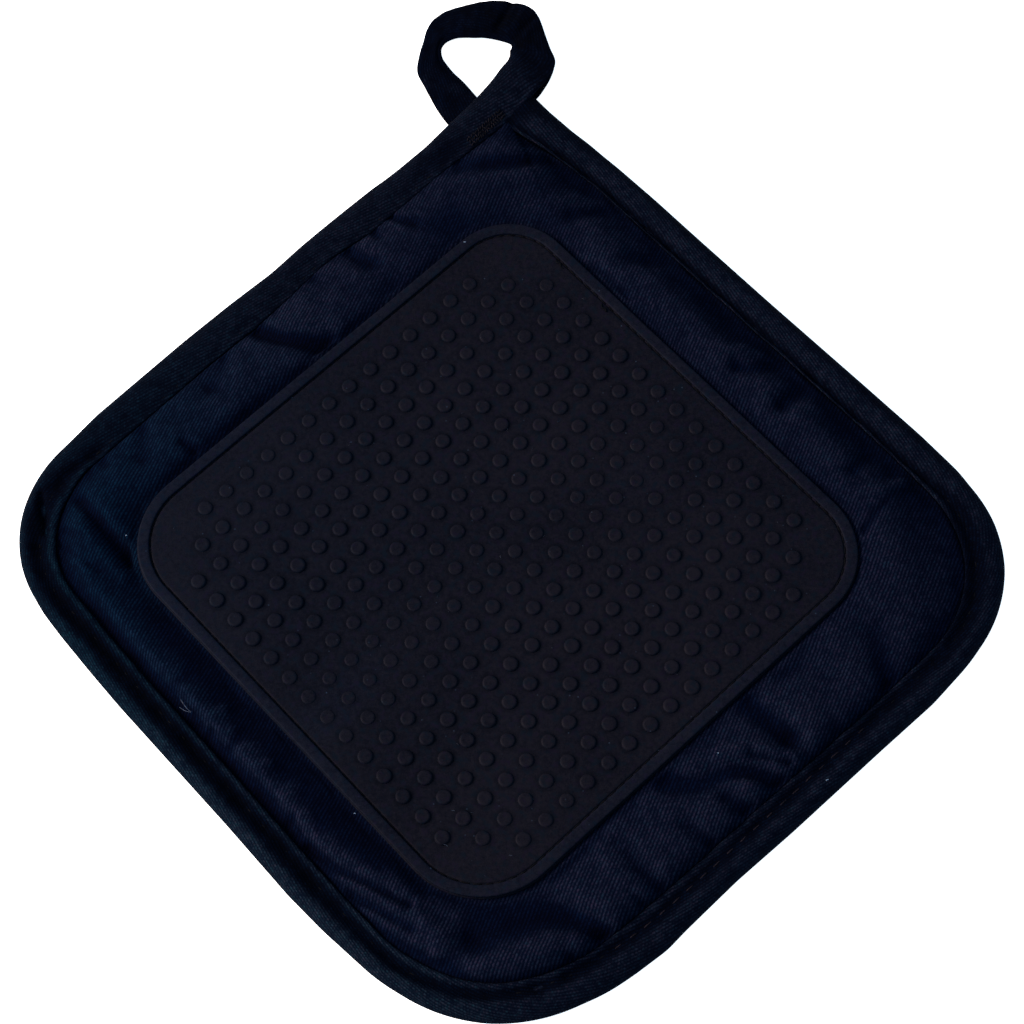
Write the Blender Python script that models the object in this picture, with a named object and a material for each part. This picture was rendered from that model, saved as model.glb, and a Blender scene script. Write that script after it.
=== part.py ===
"""A square pot holder lying flat, front up: a filled twill pad with a bound edge, a hanging loop made of
the binding's tail, and a moulded silicone patch with grip nubs sewn to its front.

Row frame: origin on the underside below the middle of the patch, +Z up through the patch, +Y towards the
loop. The sizes below are in millimetres, in the pad's own axes: x runs along its top and bottom sides and
y along its left and right sides, and the loop is at the top left.
"""

import math

import bmesh
import bpy
from mathutils import Matrix, Vector

MM = 0.001
PAD_TURN_DEG = -45.0  # from the pad's own axes to the row frame

# Outer edge of the binding: straight sides between the arcs of four unlike corners.
EDGE_CORNERS = (
    # corner,     x,     y, radius
    ("loop", -100.6, 97.6, 8.0),
    ("right", 101.9, 102.0, 39.0),
    ("bottom", 101.2, -95.4, 49.0),
    ("left", -101.4, -94.0, 35.0),
)

# Stations round the outline, shared by all that follows it, so that neighbours keep their gap.
ARC_STEPS = 8
SIDE_STEPS = 19

# Binding: section of the tape folded round the edge. Inset is measured in from the edge, height from the
# surface. The first run goes round the outside from the underside to the top, the second back inside.
BINDING_SECTION = (
    # inset, height
    (9.0, 0.0),
    (2.0, 0.0),
    (0.4, 1.0),
    (0.0, 3.0),
    (0.9, 5.0),
    (3.2, 5.7),
    (6.0, 5.6),
    (7.2, 5.1),
    (8.6, 5.6),
    (9.5, 5.1),
    (9.4, 4.3),
    (2.0, 4.3),
    (1.3, 3.6),
    (1.3, 2.0),
    (2.0, 1.3),
    (9.0, 1.3),
)
BINDING_START_X = -90.0  # on the top side, against the loop's tape
BINDING_END_Y = 97.9  # on the left side, where the tape leaves the pad

# Pad: its edge lies inside the binding, flattened by the seam.
PAD_EDGE_INSET = 1.75
PAD_EDGE_LOW = 1.8
PAD_EDGE_HIGH = 3.8
PAD_SHOULDER_INSET = 10.4
PATCH_SEAT_HEIGHT = 7.0
PATCH_SEAT_OUTSET = 1.2
# Height of the front between the binding (share 0) and the patch (share 1): the crown of the wadding.
PAD_FRONT = (
    # share, height
    (0.0, PAD_EDGE_HIGH),
    (0.07, 5.3),
    (0.18, 7.0),
    (0.34, 8.1),
    (0.52, 8.5),
    (0.70, 8.3),
    (0.86, 7.7),
    (1.0, PATCH_SEAT_HEIGHT),
)
# Height of the back over the same shares: drawn in beside the binding, flat from there on.
PAD_BACK = (
    # share, height
    (0.0, PAD_EDGE_LOW),
    (0.15, 0.8),
    (0.35, 0.2),
    (0.6, 0.0),
    (1.0, 0.0),
)
# Main creases of the front, each a soft trough or ridge from one end to the other.
CREASES = (
    # from x, from y,   to x,  to y, height, half width
    (-92.0, -3.0, -70.0, 6.0, -1.6, 4.0),
    (-90.0, -10.0, -72.0, -3.0, 0.9, 5.0),
    (-90.0, 44.0, -71.0, 56.0, -1.3, 4.5),
    (-90.0, 31.0, -76.0, 29.0, -1.0, 4.0),
    (-80.0, -28.0, -71.0, -48.0, -1.0, 5.0),
    (-88.0, -67.0, -60.0, -66.0, -1.2, 5.0),
    (-84.0, 70.0, -64.0, 84.0, -1.3, 6.0),
    (-57.0, 90.0, -53.0, 74.0, -0.9, 4.0),
    (2.0, 90.0, 10.0, 73.0, -1.3, 4.0),
    (20.0, 90.0, 22.0, 78.0, -1.0, 3.5),
    (70.0, 19.0, 90.0, 18.0, -1.3, 4.0),
    (72.0, -10.0, 94.0, 4.0, -1.6, 4.5),
    (72.0, -57.0, 94.0, -47.0, -1.8, 4.5),
    (-66.0, -76.0, -14.0, -80.0, 0.9, 4.0),
    (-6.0, -79.0, 44.0, -78.0, 0.9, 4.0),
    (24.0, -86.0, 56.0, -71.0, -1.1, 3.5),
)

# The corner below the loop is lifted a little, because the end of the tape lies under it.
TAIL_LIFT = 2.2
TAIL_LIFT_CENTRE = (-95.0, 84.0)
TAIL_LIFT_FULL = 15.0  # lifted all the way within this distance
TAIL_LIFT_END = 34.0  # not at all beyond this one

# Loop: the tape's inner and outer edges, section by section, from the binding's end up, over to the left
# and back under the pad.
LOOP_SECTIONS = (
    # inner x,    y,   z, outer x,    y,   z, thickness
    (-101.0, 98.2, 5.1, -90.6, 98.2, 5.1, 4.0),
    (-103.2, 101.0, 5.4, -90.6, 102.2, 5.4, 2.8),
    (-104.8, 103.4, 5.6, -92.8, 106.6, 5.4, 2.3),
    (-105.5, 104.0, 5.6, -97.2, 109.8, 5.2, 2.2),
    (-106.3, 104.2, 5.5, -104.0, 112.6, 4.8, 2.2),
    (-107.6, 103.8, 5.3, -110.8, 114.0, 4.6, 2.2),
    (-110.6, 102.2, 5.0, -117.2, 111.8, 4.4, 2.2),
    (-114.4, 99.2, 4.6, -122.6, 106.4, 4.2, 2.2),
    (-117.8, 95.8, 4.2, -126.0, 100.2, 3.8, 2.2),
    (-119.8, 93.0, 3.8, -127.4, 94.8, 3.3, 2.2),
    (-120.2, 91.0, 3.4, -126.8, 89.8, 2.8, 2.1),
    (-119.4, 89.0, 2.8, -124.0, 85.4, 2.3, 2.0),
    (-117.2, 87.6, 2.1, -120.0, 81.8, 1.8, 1.9),
    (-113.4, 87.2, 1.3, -115.0, 79.2, 1.2, 1.8),
    (-108.0, 87.2, 0.9, -108.0, 77.2, 0.9, 1.8),
    (-101.0, 87.0, 0.9, -101.0, 75.8, 0.9, 1.8),
    (-89.0, 86.4, 0.9, -89.0, 75.4, 0.9, 1.8),
)
LOOP_STEPS = 2  # sections made between one row and the next

# Silicone patch.
PATCH_SIDE = 140.0
PATCH_RADIUS = 20.0
PATCH_SECTION = (
    # inset, height: up the side, over the rim, down into the stitched groove and up to the field
    (0.0, 7.3),
    (0.0, 9.0),
    (0.5, 9.3),
    (3.7, 9.3),
    (4.3, 8.2),
    (5.2, 8.2),
    (5.7, 8.6),
)
PATCH_ARC_STEPS = 8
NUB_PITCH = 7.0
NUBS_A_SIDE = 18
NUB_FOOT_RADIUS = 1.7
NUB_TOP_RADIUS = 1.5
NUB_SIDES = 6
NUB_HEIGHT = 1.2
NUB_ROOT = 0.25  # how deep a nub reaches into the plate
NUBS_LEFT_OUT = 1  # at each corner: the nubs this many steps or fewer from it


def clear_scene():
    for thing in list(bpy.data.objects):
        bpy.data.objects.remove(thing, do_unlink=True)


def material(name, colour, roughness):
    made = bpy.data.materials.new(name)
    made.use_nodes = True
    shader = made.node_tree.nodes["Principled BSDF"]
    shader.inputs["Base Color"].default_value = (*colour, 1.0)
    shader.inputs["Roughness"].default_value = roughness
    shader.inputs["Metallic"].default_value = 0.0
    return made


def smoothstep(share):
    share = min(1.0, max(0.0, share))
    return share * share * (3 - 2 * share)


def between(table, share):
    """Read a two-column table at a share, with straight lines between its rows."""
    for (low, first), (high, second) in zip(table, table[1:]):
        if share <= high:
            return first + (second - first) * (share - low) / (high - low)
    return table[-1][1]


def inset_corners(corners, inset):
    """The corners after every side has moved in by the inset, with their radii less by as much."""
    points = [Vector((x, y)) for _, x, y, _ in corners]
    radii = [radius for *_, radius in corners]
    moved = []
    for index, point in enumerate(points):
        back = (points[index - 1] - point).normalized()
        on = (points[(index + 1) % len(points)] - point).normalized()
        half_angle = back.angle(on) / 2
        reach = inset / math.sin(half_angle)
        moved.append((point + (back + on).normalized() * reach, max(0.5, radii[index] - inset)))
    return moved


def arc_points(before, corner, after, radius, steps):
    """A corner's arc, from its tangent point on the side before it to that on the side after it."""
    back = (before - corner).normalized()
    on = (after - corner).normalized()
    half_angle = back.angle(on) / 2
    centre = corner + (back + on).normalized() * (radius / math.sin(half_angle))
    start = corner + back * (radius / math.tan(half_angle)) - centre
    turn = start.angle_signed(corner + on * (radius / math.tan(half_angle)) - centre)
    points = []
    for step in range(steps + 1):
        angle = -turn * step / steps
        points.append(centre + Matrix.Rotation(angle, 2) @ start)
    return points


def outline(corners, inset, arc_steps=ARC_STEPS, side_steps=SIDE_STEPS):
    """Points round the whole outline, clockwise from the first corner's arc."""
    moved = inset_corners(corners, inset)
    arcs = []
    for index, (corner, radius) in enumerate(moved):
        before = moved[index - 1][0]
        after = moved[(index + 1) % len(moved)][0]
        arcs.append(arc_points(before, corner, after, radius, arc_steps))
    points = []
    for index, arc in enumerate(arcs):
        following = arcs[(index + 1) % len(arcs)][0]
        points += arc
        points += [arc[-1].lerp(following, step / side_steps) for step in range(1, side_steps)]
    return points


def bound_path(inset):
    """The binding's line at this inset: clockwise from its start on the top side to its end on the left side,
    past the same stations as the pad's edge inside it."""
    corners = inset_corners(EDGE_CORNERS, inset)
    loop_corner, right, left = corners[0][0], corners[1][0], corners[3][0]
    start = loop_corner.lerp(right, (BINDING_START_X - loop_corner.x) / (right.x - loop_corner.x))
    end = loop_corner.lerp(left, (BINDING_END_Y - loop_corner.y) / (left.y - loop_corner.y))
    return [start, *outline(EDGE_CORNERS, inset)[ARC_STEPS + 1 :], end]


def tail_lift(point):
    away = math.dist(point[:2], TAIL_LIFT_CENTRE)
    return TAIL_LIFT * smoothstep((TAIL_LIFT_END - away) / (TAIL_LIFT_END - TAIL_LIFT_FULL))


def crease_height(point):
    """What the main creases add to the front at a point."""
    total = 0.0
    for from_x, from_y, to_x, to_y, height, half_width in CREASES:
        start = Vector((from_x, from_y))
        run = Vector((to_x, to_y)) - start
        along = min(1.0, max(0.0, (point - start).dot(run) / run.length_squared))
        away = (point - start - run * along).length
        total += height * smoothstep(1 - away / (1.6 * half_width))
    return total


def skin(name, rows, finish, rows_closed=False):
    """One closed solid through rows of points. Rows of a ring are capped at the first and the last row, and
    rows that are closed on each other, like the lines along a tape, are capped at their ends."""
    mesh = bmesh.new()
    lines = [[mesh.verts.new(point * MM) for point in row] for row in rows]
    pairs = list(zip(lines, lines[1:]))
    if rows_closed:
        pairs.append((lines[-1], lines[0]))
    for first, second in pairs:
        last = len(first) if not rows_closed else len(first) - 1
        for index in range(last):
            nxt = (index + 1) % len(first)
            mesh.faces.new((first[index], first[nxt], second[nxt], second[index]))
    if rows_closed:
        mesh.faces.new([line[0] for line in lines])
        mesh.faces.new([line[-1] for line in lines])
    else:
        mesh.faces.new(lines[0])
        mesh.faces.new(lines[-1])
    bmesh.ops.recalc_face_normals(mesh, faces=mesh.faces)
    return finished(name, mesh, finish)


def finished(name, mesh, finish):
    data = bpy.data.meshes.new(name)
    mesh.to_mesh(data)
    mesh.free()
    data.shade_smooth()
    data.set_sharp_from_angle(angle=math.radians(40))
    data.materials.append(finish)
    return bpy.data.objects.new(name, data)


def ring(points, height, lifted):
    return [Vector((*point, height + (tail_lift(point) if lifted else 0))) for point in points]


def patch_corners():
    half = PATCH_SIDE / 2
    places = ((-half, half), (half, half), (half, -half), (-half, -half))
    return [("patch", x, y, PATCH_RADIUS) for x, y in places]


def make_pad(finish):
    """The filled pad, from the middle of its back out to its edge and in over its front."""
    shoulder = outline(EDGE_CORNERS, PAD_SHOULDER_INSET)
    seat = outline(patch_corners(), -PATCH_SEAT_OUTSET)

    def band(table, share, creased):
        height = between(table, share)
        row = []
        for outer, inner in zip(shoulder, seat):
            point = outer.lerp(inner, share)
            relief = crease_height(point) * math.sin(math.pi * share) ** 0.5 if creased else 0
            lift = tail_lift(point) if share < 1 else 0
            row.append(Vector((*point, height + relief + lift)))
        return row

    rows = [band(PAD_BACK, share, False) for share, _ in reversed(PAD_BACK)]
    for inset, height in (
        (PAD_EDGE_INSET + 1.5, PAD_EDGE_LOW),
        (PAD_EDGE_INSET, (2 * PAD_EDGE_LOW + PAD_EDGE_HIGH) / 3),
        (PAD_EDGE_INSET, (PAD_EDGE_LOW + 2 * PAD_EDGE_HIGH) / 3),
        (PAD_EDGE_INSET + 1.5, PAD_EDGE_HIGH),
    ):
        rows.append(ring(outline(EDGE_CORNERS, inset), height, lifted=True))
    rows += [band(PAD_FRONT, share, 0 < share < 1) for share, _ in PAD_FRONT]
    return skin("pad", rows, finish)


def make_binding(finish):
    rows = [ring(bound_path(inset), height, lifted=True) for inset, height in BINDING_SECTION]
    return skin("binding", rows, finish, rows_closed=True)


def smooth_rows(table, steps):
    """The table's rows with rows between them, on a smooth curve through every column."""
    rows = []
    for index in range(len(table) - 1):
        before = table[max(0, index - 1)]
        after = table[min(len(table) - 1, index + 2)]
        for step in range(steps):
            share = step / steps
            rows.append(
                [
                    0.5
                    * (
                        2 * b
                        + (c - a) * share
                        + (2 * a - 5 * b + 4 * c - d) * share**2
                        + (3 * b - a - 3 * c + d) * share**3
                    )
                    for a, b, c, d in zip(before, table[index], table[index + 1], after)
                ]
            )
    return rows + [list(table[-1])]


def make_loop(finish):
    """The tape's tail: a flat section with rounded edges at each row of the table."""
    rows = []
    for row in smooth_rows(LOOP_SECTIONS, LOOP_STEPS):
        inner, outer, thickness = Vector(row[0:3]), Vector(row[3:6]), row[6]
        across = (outer - inner).normalized()
        along = Vector((0, 0, 1)).cross(across)
        up = across.cross(along).normalized() * thickness / 2
        round_in = across * min(0.8, thickness * 0.3)
        rows.append(
            [
                inner + up * 0.4,
                inner + round_in + up,
                outer - round_in + up,
                outer + up * 0.4,
                outer - up * 0.4,
                outer - round_in - up,
                inner + round_in - up,
                inner - up * 0.4,
            ]
        )
    return skin("hanging_loop", rows, finish)


def make_nubs(field_height):
    """All the nubs in one mesh, each a short tapered prism, to be joined to the patch."""
    mesh = bmesh.new()
    last = NUBS_A_SIDE - 1
    depth = NUB_HEIGHT + NUB_ROOT
    for column in range(NUBS_A_SIDE):
        for row in range(NUBS_A_SIDE):
            if min(column, last - column) + min(row, last - row) <= NUBS_LEFT_OUT:
                continue
            place = Vector(
                (
                    (column - last / 2) * NUB_PITCH,
                    (row - last / 2) * NUB_PITCH,
                    field_height - NUB_ROOT + depth / 2,
                )
            )
            bmesh.ops.create_cone(
                mesh,
                cap_ends=True,
                segments=NUB_SIDES,
                radius1=NUB_FOOT_RADIUS * MM,
                radius2=NUB_TOP_RADIUS * MM,
                depth=depth * MM,
                matrix=Matrix.Translation(place * MM),
            )
    return mesh


def make_patch(finish, cutters):
    rows = [
        ring(outline(patch_corners(), inset, PATCH_ARC_STEPS, 1), height, lifted=False)
        for inset, height in PATCH_SECTION
    ]
    patch = skin("silicone_patch", rows, finish)
    nubs = finished("nubs", make_nubs(PATCH_SECTION[-1][1]), finish)
    nubs.hide_render = True
    nubs.display_type = "WIRE"
    cutters.objects.link(nubs)
    union = patch.modifiers.new("nubs", "BOOLEAN")
    union.operation = "UNION"
    union.object = nubs
    return patch, nubs


def main():
    clear_scene()
    pieces = bpy.data.collections.new("pot_holder")
    cutters = bpy.data.collections.new("joined_shapes")
    bpy.context.scene.collection.children.link(pieces)
    bpy.context.scene.collection.children.link(cutters)

    cloth = material("navy_twill", (0.004, 0.006, 0.013), 0.9)
    tape = material("navy_tape", (0.003, 0.006, 0.013), 0.9)
    silicone = material("black_silicone", (0.007, 0.007, 0.012), 0.6)

    axes = bpy.data.objects.new("pad_axes", None)
    axes.rotation_euler.z = math.radians(PAD_TURN_DEG)
    pieces.objects.link(axes)

    patch, nubs = make_patch(silicone, cutters)
    for piece in (make_pad(cloth), make_binding(tape), make_loop(tape), patch):
        pieces.objects.link(piece)
        piece.parent = axes
    nubs.parent = axes


main()
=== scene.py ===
import cmath
import math

import bmesh
import bpy
import numpy as np
from mathutils import Matrix, Vector


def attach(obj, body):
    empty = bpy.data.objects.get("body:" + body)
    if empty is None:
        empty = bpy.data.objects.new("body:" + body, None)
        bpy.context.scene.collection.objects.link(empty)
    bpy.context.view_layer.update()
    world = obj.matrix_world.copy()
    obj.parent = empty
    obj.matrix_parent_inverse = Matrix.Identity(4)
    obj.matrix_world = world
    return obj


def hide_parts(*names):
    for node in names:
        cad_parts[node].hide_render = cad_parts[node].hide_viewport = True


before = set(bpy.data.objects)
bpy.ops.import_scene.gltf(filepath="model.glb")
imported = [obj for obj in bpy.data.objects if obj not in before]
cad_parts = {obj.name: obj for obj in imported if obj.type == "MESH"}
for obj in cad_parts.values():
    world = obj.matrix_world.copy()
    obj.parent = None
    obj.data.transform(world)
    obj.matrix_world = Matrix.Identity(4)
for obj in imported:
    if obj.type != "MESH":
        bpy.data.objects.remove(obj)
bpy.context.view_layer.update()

# A pot holder lying front up: filled twill pad, folded tape binding that runs on into the hanging loop, and
# a moulded silicone patch. Sizes are in mm in the pad's own axes (x along its top and bottom sides, y up its
# left side, the loop at the top left, the patch round the origin). toFrame puts them in the row frame in m.

print("stage: helpers")

mm = 0.001
halfRoot = math.sqrt(0.5)  # sine and cosine of the 45 degrees between the pad's axes and the frame's
sharpAngle = 1.1  # radians


def toFrame(points):
    x, y, z = np.moveaxis(np.asarray(points, float), -1, 0)
    return np.stack(((x + y) * halfRoot, (y - x) * halfRoot, z), -1) * mm


def toMetres(points):
    return points * mm


def smooth(share):
    share = np.clip(share, 0.0, 1.0)
    return share * share * (3 - 2 * share)


def bell(distance, halfWidth):
    return np.exp(-((distance / halfWidth) ** 2))


def uneven(x, y, wavelength, seed, waves=9):
    # a smooth random field of about unit height, the same on each run
    chance = np.random.default_rng(seed)
    total = np.zeros(np.broadcast(x, y).shape)
    for _ in range(waves):
        angle, phase = chance.uniform(0, 2 * math.pi, 2)
        count = 2 * math.pi / (wavelength * chance.uniform(0.7, 1.5))
        total += np.cos(count * (x * math.cos(angle) + y * math.sin(angle)) + phase)
    return total / math.sqrt(waves / 2)


def tenths(rows):
    # long tables are written in tenths
    return {at: np.array(row) / 10 for at, row in rows.items()}


def unit(number):
    return number / abs(number)


def outline(corners, inset, arcSteps, sideSteps):
    # clockwise from the first corner's arc, as rows of x, y
    places = [complex(x, y) for _, x, y, _ in corners]
    arcs = []
    for index, (_, _, _, radius) in enumerate(corners):
        back, on = (unit(places[(index + step) % len(places)] - places[index]) for step in (-1, 1))
        halfAngle = abs(cmath.phase(on / back)) / 2
        place = places[index] + unit(back + on) * (inset / math.sin(halfAngle))
        radius = max(0.5, radius - inset)
        centre = place + unit(back + on) * radius / math.sin(halfAngle)
        first, last = (place + way * radius / math.tan(halfAngle) - centre for way in (back, on))
        turn = cmath.phase(last / first)
        arcs.append([centre + first * cmath.exp(1j * turn * step / arcSteps) for step in range(arcSteps + 1)])
    points = []
    for arc, following in zip(arcs, arcs[1:] + arcs[:1]):
        points += arc
        points += [arc[-1] + (following[0] - arc[-1]) * step / sideSteps for step in range(1, sideSteps)]
    return np.array([(point.real, point.imag) for point in points])


def linked(name, data):
    holder = bpy.data.objects.new(name, data)
    bpy.context.scene.collection.objects.link(holder)
    return holder


def meshObject(name, points, edges=(), faces=(), convert=toFrame):
    data = bpy.data.meshes.new(name)
    data.from_pydata(convert(np.array(points)).tolist(), list(edges), list(faces))
    return linked(name, data)


def faceOutwards(data):
    shell = bmesh.new()
    shell.from_mesh(data)
    bmesh.ops.recalc_face_normals(shell, faces=shell.faces)
    shell.to_mesh(data)
    shell.free()
    data.shade_smooth()


def gridMesh(name, grid, centres=(), tape=(), tone=None):
    # grid is rows x columns x 3. With centres, its columns go round and these points close its first and last
    # row. With tape, its rows go round, its ends are capped, and tape gives the length along each column and
    # the distance round each row, for a UV map in m. tone is the painted shade and light at each point.
    rows, columns = grid.shape[:2]
    row, column = np.meshgrid(np.arange(rows - bool(centres)), np.arange(columns - bool(tape)), indexing="ij")
    corners = ((0, 0), (0, 1), (1, 1), (1, 0))
    quads = [np.stack((row + down, column + along), -1).reshape(-1, 2) for down, along in corners]
    quads = np.stack(quads, 1)
    faces = ((quads[..., 0] % rows) * columns + quads[..., 1] % columns).tolist()
    points = grid.reshape(-1, 3)
    for place, row in zip(centres, (0, rows - 1)):
        ring = np.arange(columns) + row * columns
        faces += [[len(points), *pair] for pair in zip(ring.tolist(), np.roll(ring, -1).tolist())]
        points = np.vstack((points, place))
    if tape:
        faces += [[row * columns + end for row in range(rows)] for end in (0, columns - 1)]
    piece = meshObject(name, points, faces=faces)
    data = piece.data
    if tape:
        along, across = tape
        layer = data.uv_layers.new(name="tapeLine")
        pairs = np.zeros((len(data.loops), 2), np.float32)
        flat = quads.reshape(-1, 2)
        pairs[: len(flat)] = np.stack((along[flat[:, 1] % columns], across[flat[:, 0]]), -1) * mm
        layer.uv.foreach_set("vector", pairs.ravel())
    faceOutwards(data)
    data.set_sharp_from_angle(angle=sharpAngle)
    # the painted shade and light go to the relief attribute
    if tone is not None:
        tone = np.concatenate((tone.ravel(), np.zeros(len(centres)))).astype(np.float32)
        data.attributes.new("relief", "FLOAT", "POINT").data.foreach_set("value", tone)
    return piece


def finishPiece(piece, finish):
    piece.data.materials.clear()
    piece.data.materials.append(finish)
    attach(piece, "root")


def operators(operation):
    # the operator with the wire first, and its reflected form
    return (
        lambda wire, value: wire.graph.maths(operation, wire, value),
        lambda wire, value: wire.graph.maths(operation, value, wire),
    )


class Wire:
    __add__, __radd__ = operators("ADD")
    __sub__, __rsub__ = operators("SUBTRACT")
    __mul__, __rmul__ = operators("MULTIPLY")
    __truediv__, __rtruediv__ = operators("DIVIDE")

    def __init__(self, graph, socket):
        self.graph = graph
        self.socket = socket

    def other(self, name):
        return Wire(self.graph, self.socket.node.outputs[name])


class Graph:
    def __init__(self, tree):
        self.tree = tree

    def add(self, kind, settings=None, inputs=None, output=0):
        node = self.tree.nodes.new(kind)
        for name, value in (settings or {}).items():
            setattr(node, name, value)
        for name, value in (inputs or {}).items():
            self.feed(node.inputs[name], value)
        return Wire(self, node.outputs[output]) if len(node.outputs) else node

    def feed(self, socket, value):
        if isinstance(value, Wire):
            self.tree.links.new(value.socket, socket)
        else:
            socket.default_value = value

    def maths(self, operation, *values):
        return self.add("ShaderNodeMath", {"operation": operation}, dict(enumerate(values)))

    def vectorMaths(self, operation, first, second, output=0):
        return self.add("ShaderNodeVectorMath", {"operation": operation}, {0: first, 1: second}, output)

    def parts(self, vector):
        x = self.add("ShaderNodeSeparateXYZ", None, {0: vector})
        return x, x.other("Y"), x.other("Z")

    def vector(self, *values):
        return self.add("ShaderNodeCombineXYZ", None, dict(enumerate(values)))

    def within(self, value, low, high, toLow=0.0, toHigh=1.0):
        ends = {"From Min": low, "From Max": high, "To Min": toLow, "To Max": toHigh}
        return self.add("ShaderNodeMapRange", {"interpolation_type": "SMOOTHSTEP"}, {"Value": value, **ends})

    def blend(self, share, first, second, way="MIX"):
        mixed = {"data_type": "RGBA", "blend_type": way}
        return self.add("ShaderNodeMix", mixed, {0: share, 6: first, 7: second}, 2)

    def tinted(self, base, tint):
        return self.blend(1.0, base, tint, "MULTIPLY")

    def noise(self, place, scale, detail=2.0, rough=0.5):
        sizes = {"Vector": place, "Scale": scale, "Detail": detail, "Roughness": rough}
        return self.add("ShaderNodeTexNoise", None, sizes)

    def chance(self, low, high, seed):
        # the plain number's sockets of the random node
        return self.add("FunctionNodeRandomValue", {"data_type": "FLOAT"}, {2: low, 3: high, 8: seed}, 1)


def newFinish(name, uniform):
    finish = bpy.data.materials.new(name)
    finish.use_nodes = True
    shader = finish.node_tree.nodes["Principled BSDF"]
    for socket, value in uniform.items():
        shader.inputs[socket].default_value = value
    return finish, Graph(finish.node_tree), shader


def endFinish(graph, shader, base, height, strength, distance):
    graph.feed(shader.inputs["Base Color"], base)
    bump = {"Strength": strength, "Distance": distance * mm, "Height": height}
    graph.feed(shader.inputs["Normal"], graph.add("ShaderNodeBump", None, bump))


print("stage: camera, light and floor")

view = {
    "lens": 99.5,
    "place": (0.04442, -0.25481, 0.66919),
    "right": (0.99817, 0.04027, -0.04524),
    "up": (-0.02046, 0.92727, 0.37384),
}

studio = {
    "sky": {"Color": (0.28, 0.66, 1.0, 1.0), "Strength": 0.85},
    # place, size, power, colour
    "lamps": {
        "key": ((-2.2, -0.02, 1.48), 1.7, 185.0, (1.0, 0.77, 0.62)),
        "left": ((-0.62, -0.26, 0.22), 0.3, 2.0, (0.02, 0.62, 1.0)),
    },
    "floorSide": 6.0,
    "floorFinish": {
        "Base Color": (0.9, 0.9, 0.9, 1.0),
        "Roughness": 0.9,
        "Specular IOR Level": 0.1,
        "Emission Color": (1.0, 1.0, 1.0, 1.0),
        "Emission Strength": 0.95,
    },
}


def makeCamera():
    camera = linked("camera", bpy.data.cameras.new("camera"))
    camera.data.lens = view["lens"]
    camera.data.sensor_width = 36.0
    camera.data.clip_start = 0.01
    right, up = Vector(view["right"]), Vector(view["up"])
    turn = Matrix((right, up, right.cross(up))).transposed().to_4x4()
    camera.matrix_world = Matrix.Translation(view["place"]) @ turn
    bpy.context.scene.camera = camera


def softLight(name, place, size, power, colour):
    lamp = bpy.data.lights.new(name, "AREA")
    lamp.shape = "DISK"
    lamp.size = size
    lamp.energy = power
    lamp.color = colour
    holder = linked(name, lamp)
    holder.location = place
    holder.rotation_euler = (-Vector(place)).to_track_quat("-Z", "Y").to_euler()


def makeStudio():
    scene = bpy.context.scene
    scene.view_settings.view_transform = "Standard"
    scene.world = bpy.data.worlds.new("studio")
    scene.world.use_nodes = True
    for socket, value in studio["sky"].items():
        scene.world.node_tree.nodes["Background"].inputs[socket].default_value = value
    for name, lamp in studio["lamps"].items():
        softLight(name, *lamp)
    half = studio["floorSide"] / 2
    corners = np.array(((-half, -half, 0), (half, -half, 0), (half, half, 0), (-half, half, 0)))
    floor = meshObject("floor", corners, faces=[(0, 1, 2, 3)], convert=np.array)
    floor.location.z = -0.0001
    floor.data.materials.append(newFinish("paleFloor", studio["floorFinish"])[0])
    floor.visible_diffuse = False  # its glow keeps the ground white and lights nothing


makeCamera()
makeStudio()

print("stage: materials")

plain = (1.0, 1.0, 1.0, 1.0)
leftCorner = (-0.135, 0.0, 0.0)  # painted cool cast of the light from the left: cloth and silicone are greener towards it


def colour(red, green, blue):
    # thousandths of linear light, because these cloths are close to black
    return (red / 1000, green / 1000, blue / 1000, 1.0)


def whole(graph):
    return graph.add("ShaderNodeTexCoord", output="Object")


def place(graph, spin=0.0, uvMap=None, shift=(0.0, 0.0, 0.0)):
    # coordinates in mm, turned so that x runs across the ribs and y along them
    where = graph.add("ShaderNodeUVMap", {"uv_map": uvMap}) if uvMap else whole(graph)
    turn = {"Rotation": (0.0, 0.0, math.radians(spin)), "Location": shift, "Scale": (1 / mm,) * 3}
    return graph.add("ShaderNodeMapping", {"vector_type": "POINT"}, {"Vector": where, **turn})


def paintedCastNearCorner(graph, tint, near, far):
    # this painted light cast near the left corner, and none far from it
    away = graph.vectorMaths("DISTANCE", whole(graph), leftCorner, "Value")
    return graph.blend(graph.within(away, near, far), tint, plain)


clothFinish = {
    "ribSpacing": 0.86,
    "ribTurn": 20.0,  # turns ribs that run at 70 degrees in the row frame on to y
    "floatLength": 1.05,
    "valley": colour(0.25, 0.9, 4.2),
    "crest": colour(5.6, 7.9, 17.0),
    "rosy": colour(8.4, 7.2, 16.5),
    "mossy": colour(3.0, 9.0, 17.5),
    # painted cast of the cool light, near the left corner
    "paintedCoolCast": (0.1, 0.72, 0.86, 1.0),
    # by the relief attribute: painted shade in hollows, deeper painted shade in the deepest, painted
    # highlight on crests
    "trough": (0.14, 0.38, 0.66, 1.0),
    "deep": (0.04, 0.16, 0.42, 1.0),
    "ridge": (1.45, 1.32, 1.22, 1.0),
    "weights": (0.8, 0.85, 0.5),  # of ribs, fluff and blotches
    "broken": (0.55, 0.5, 0.5, 0.55),  # how the floats differ by chance, and along each
    "bump": 0.10,
}

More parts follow.
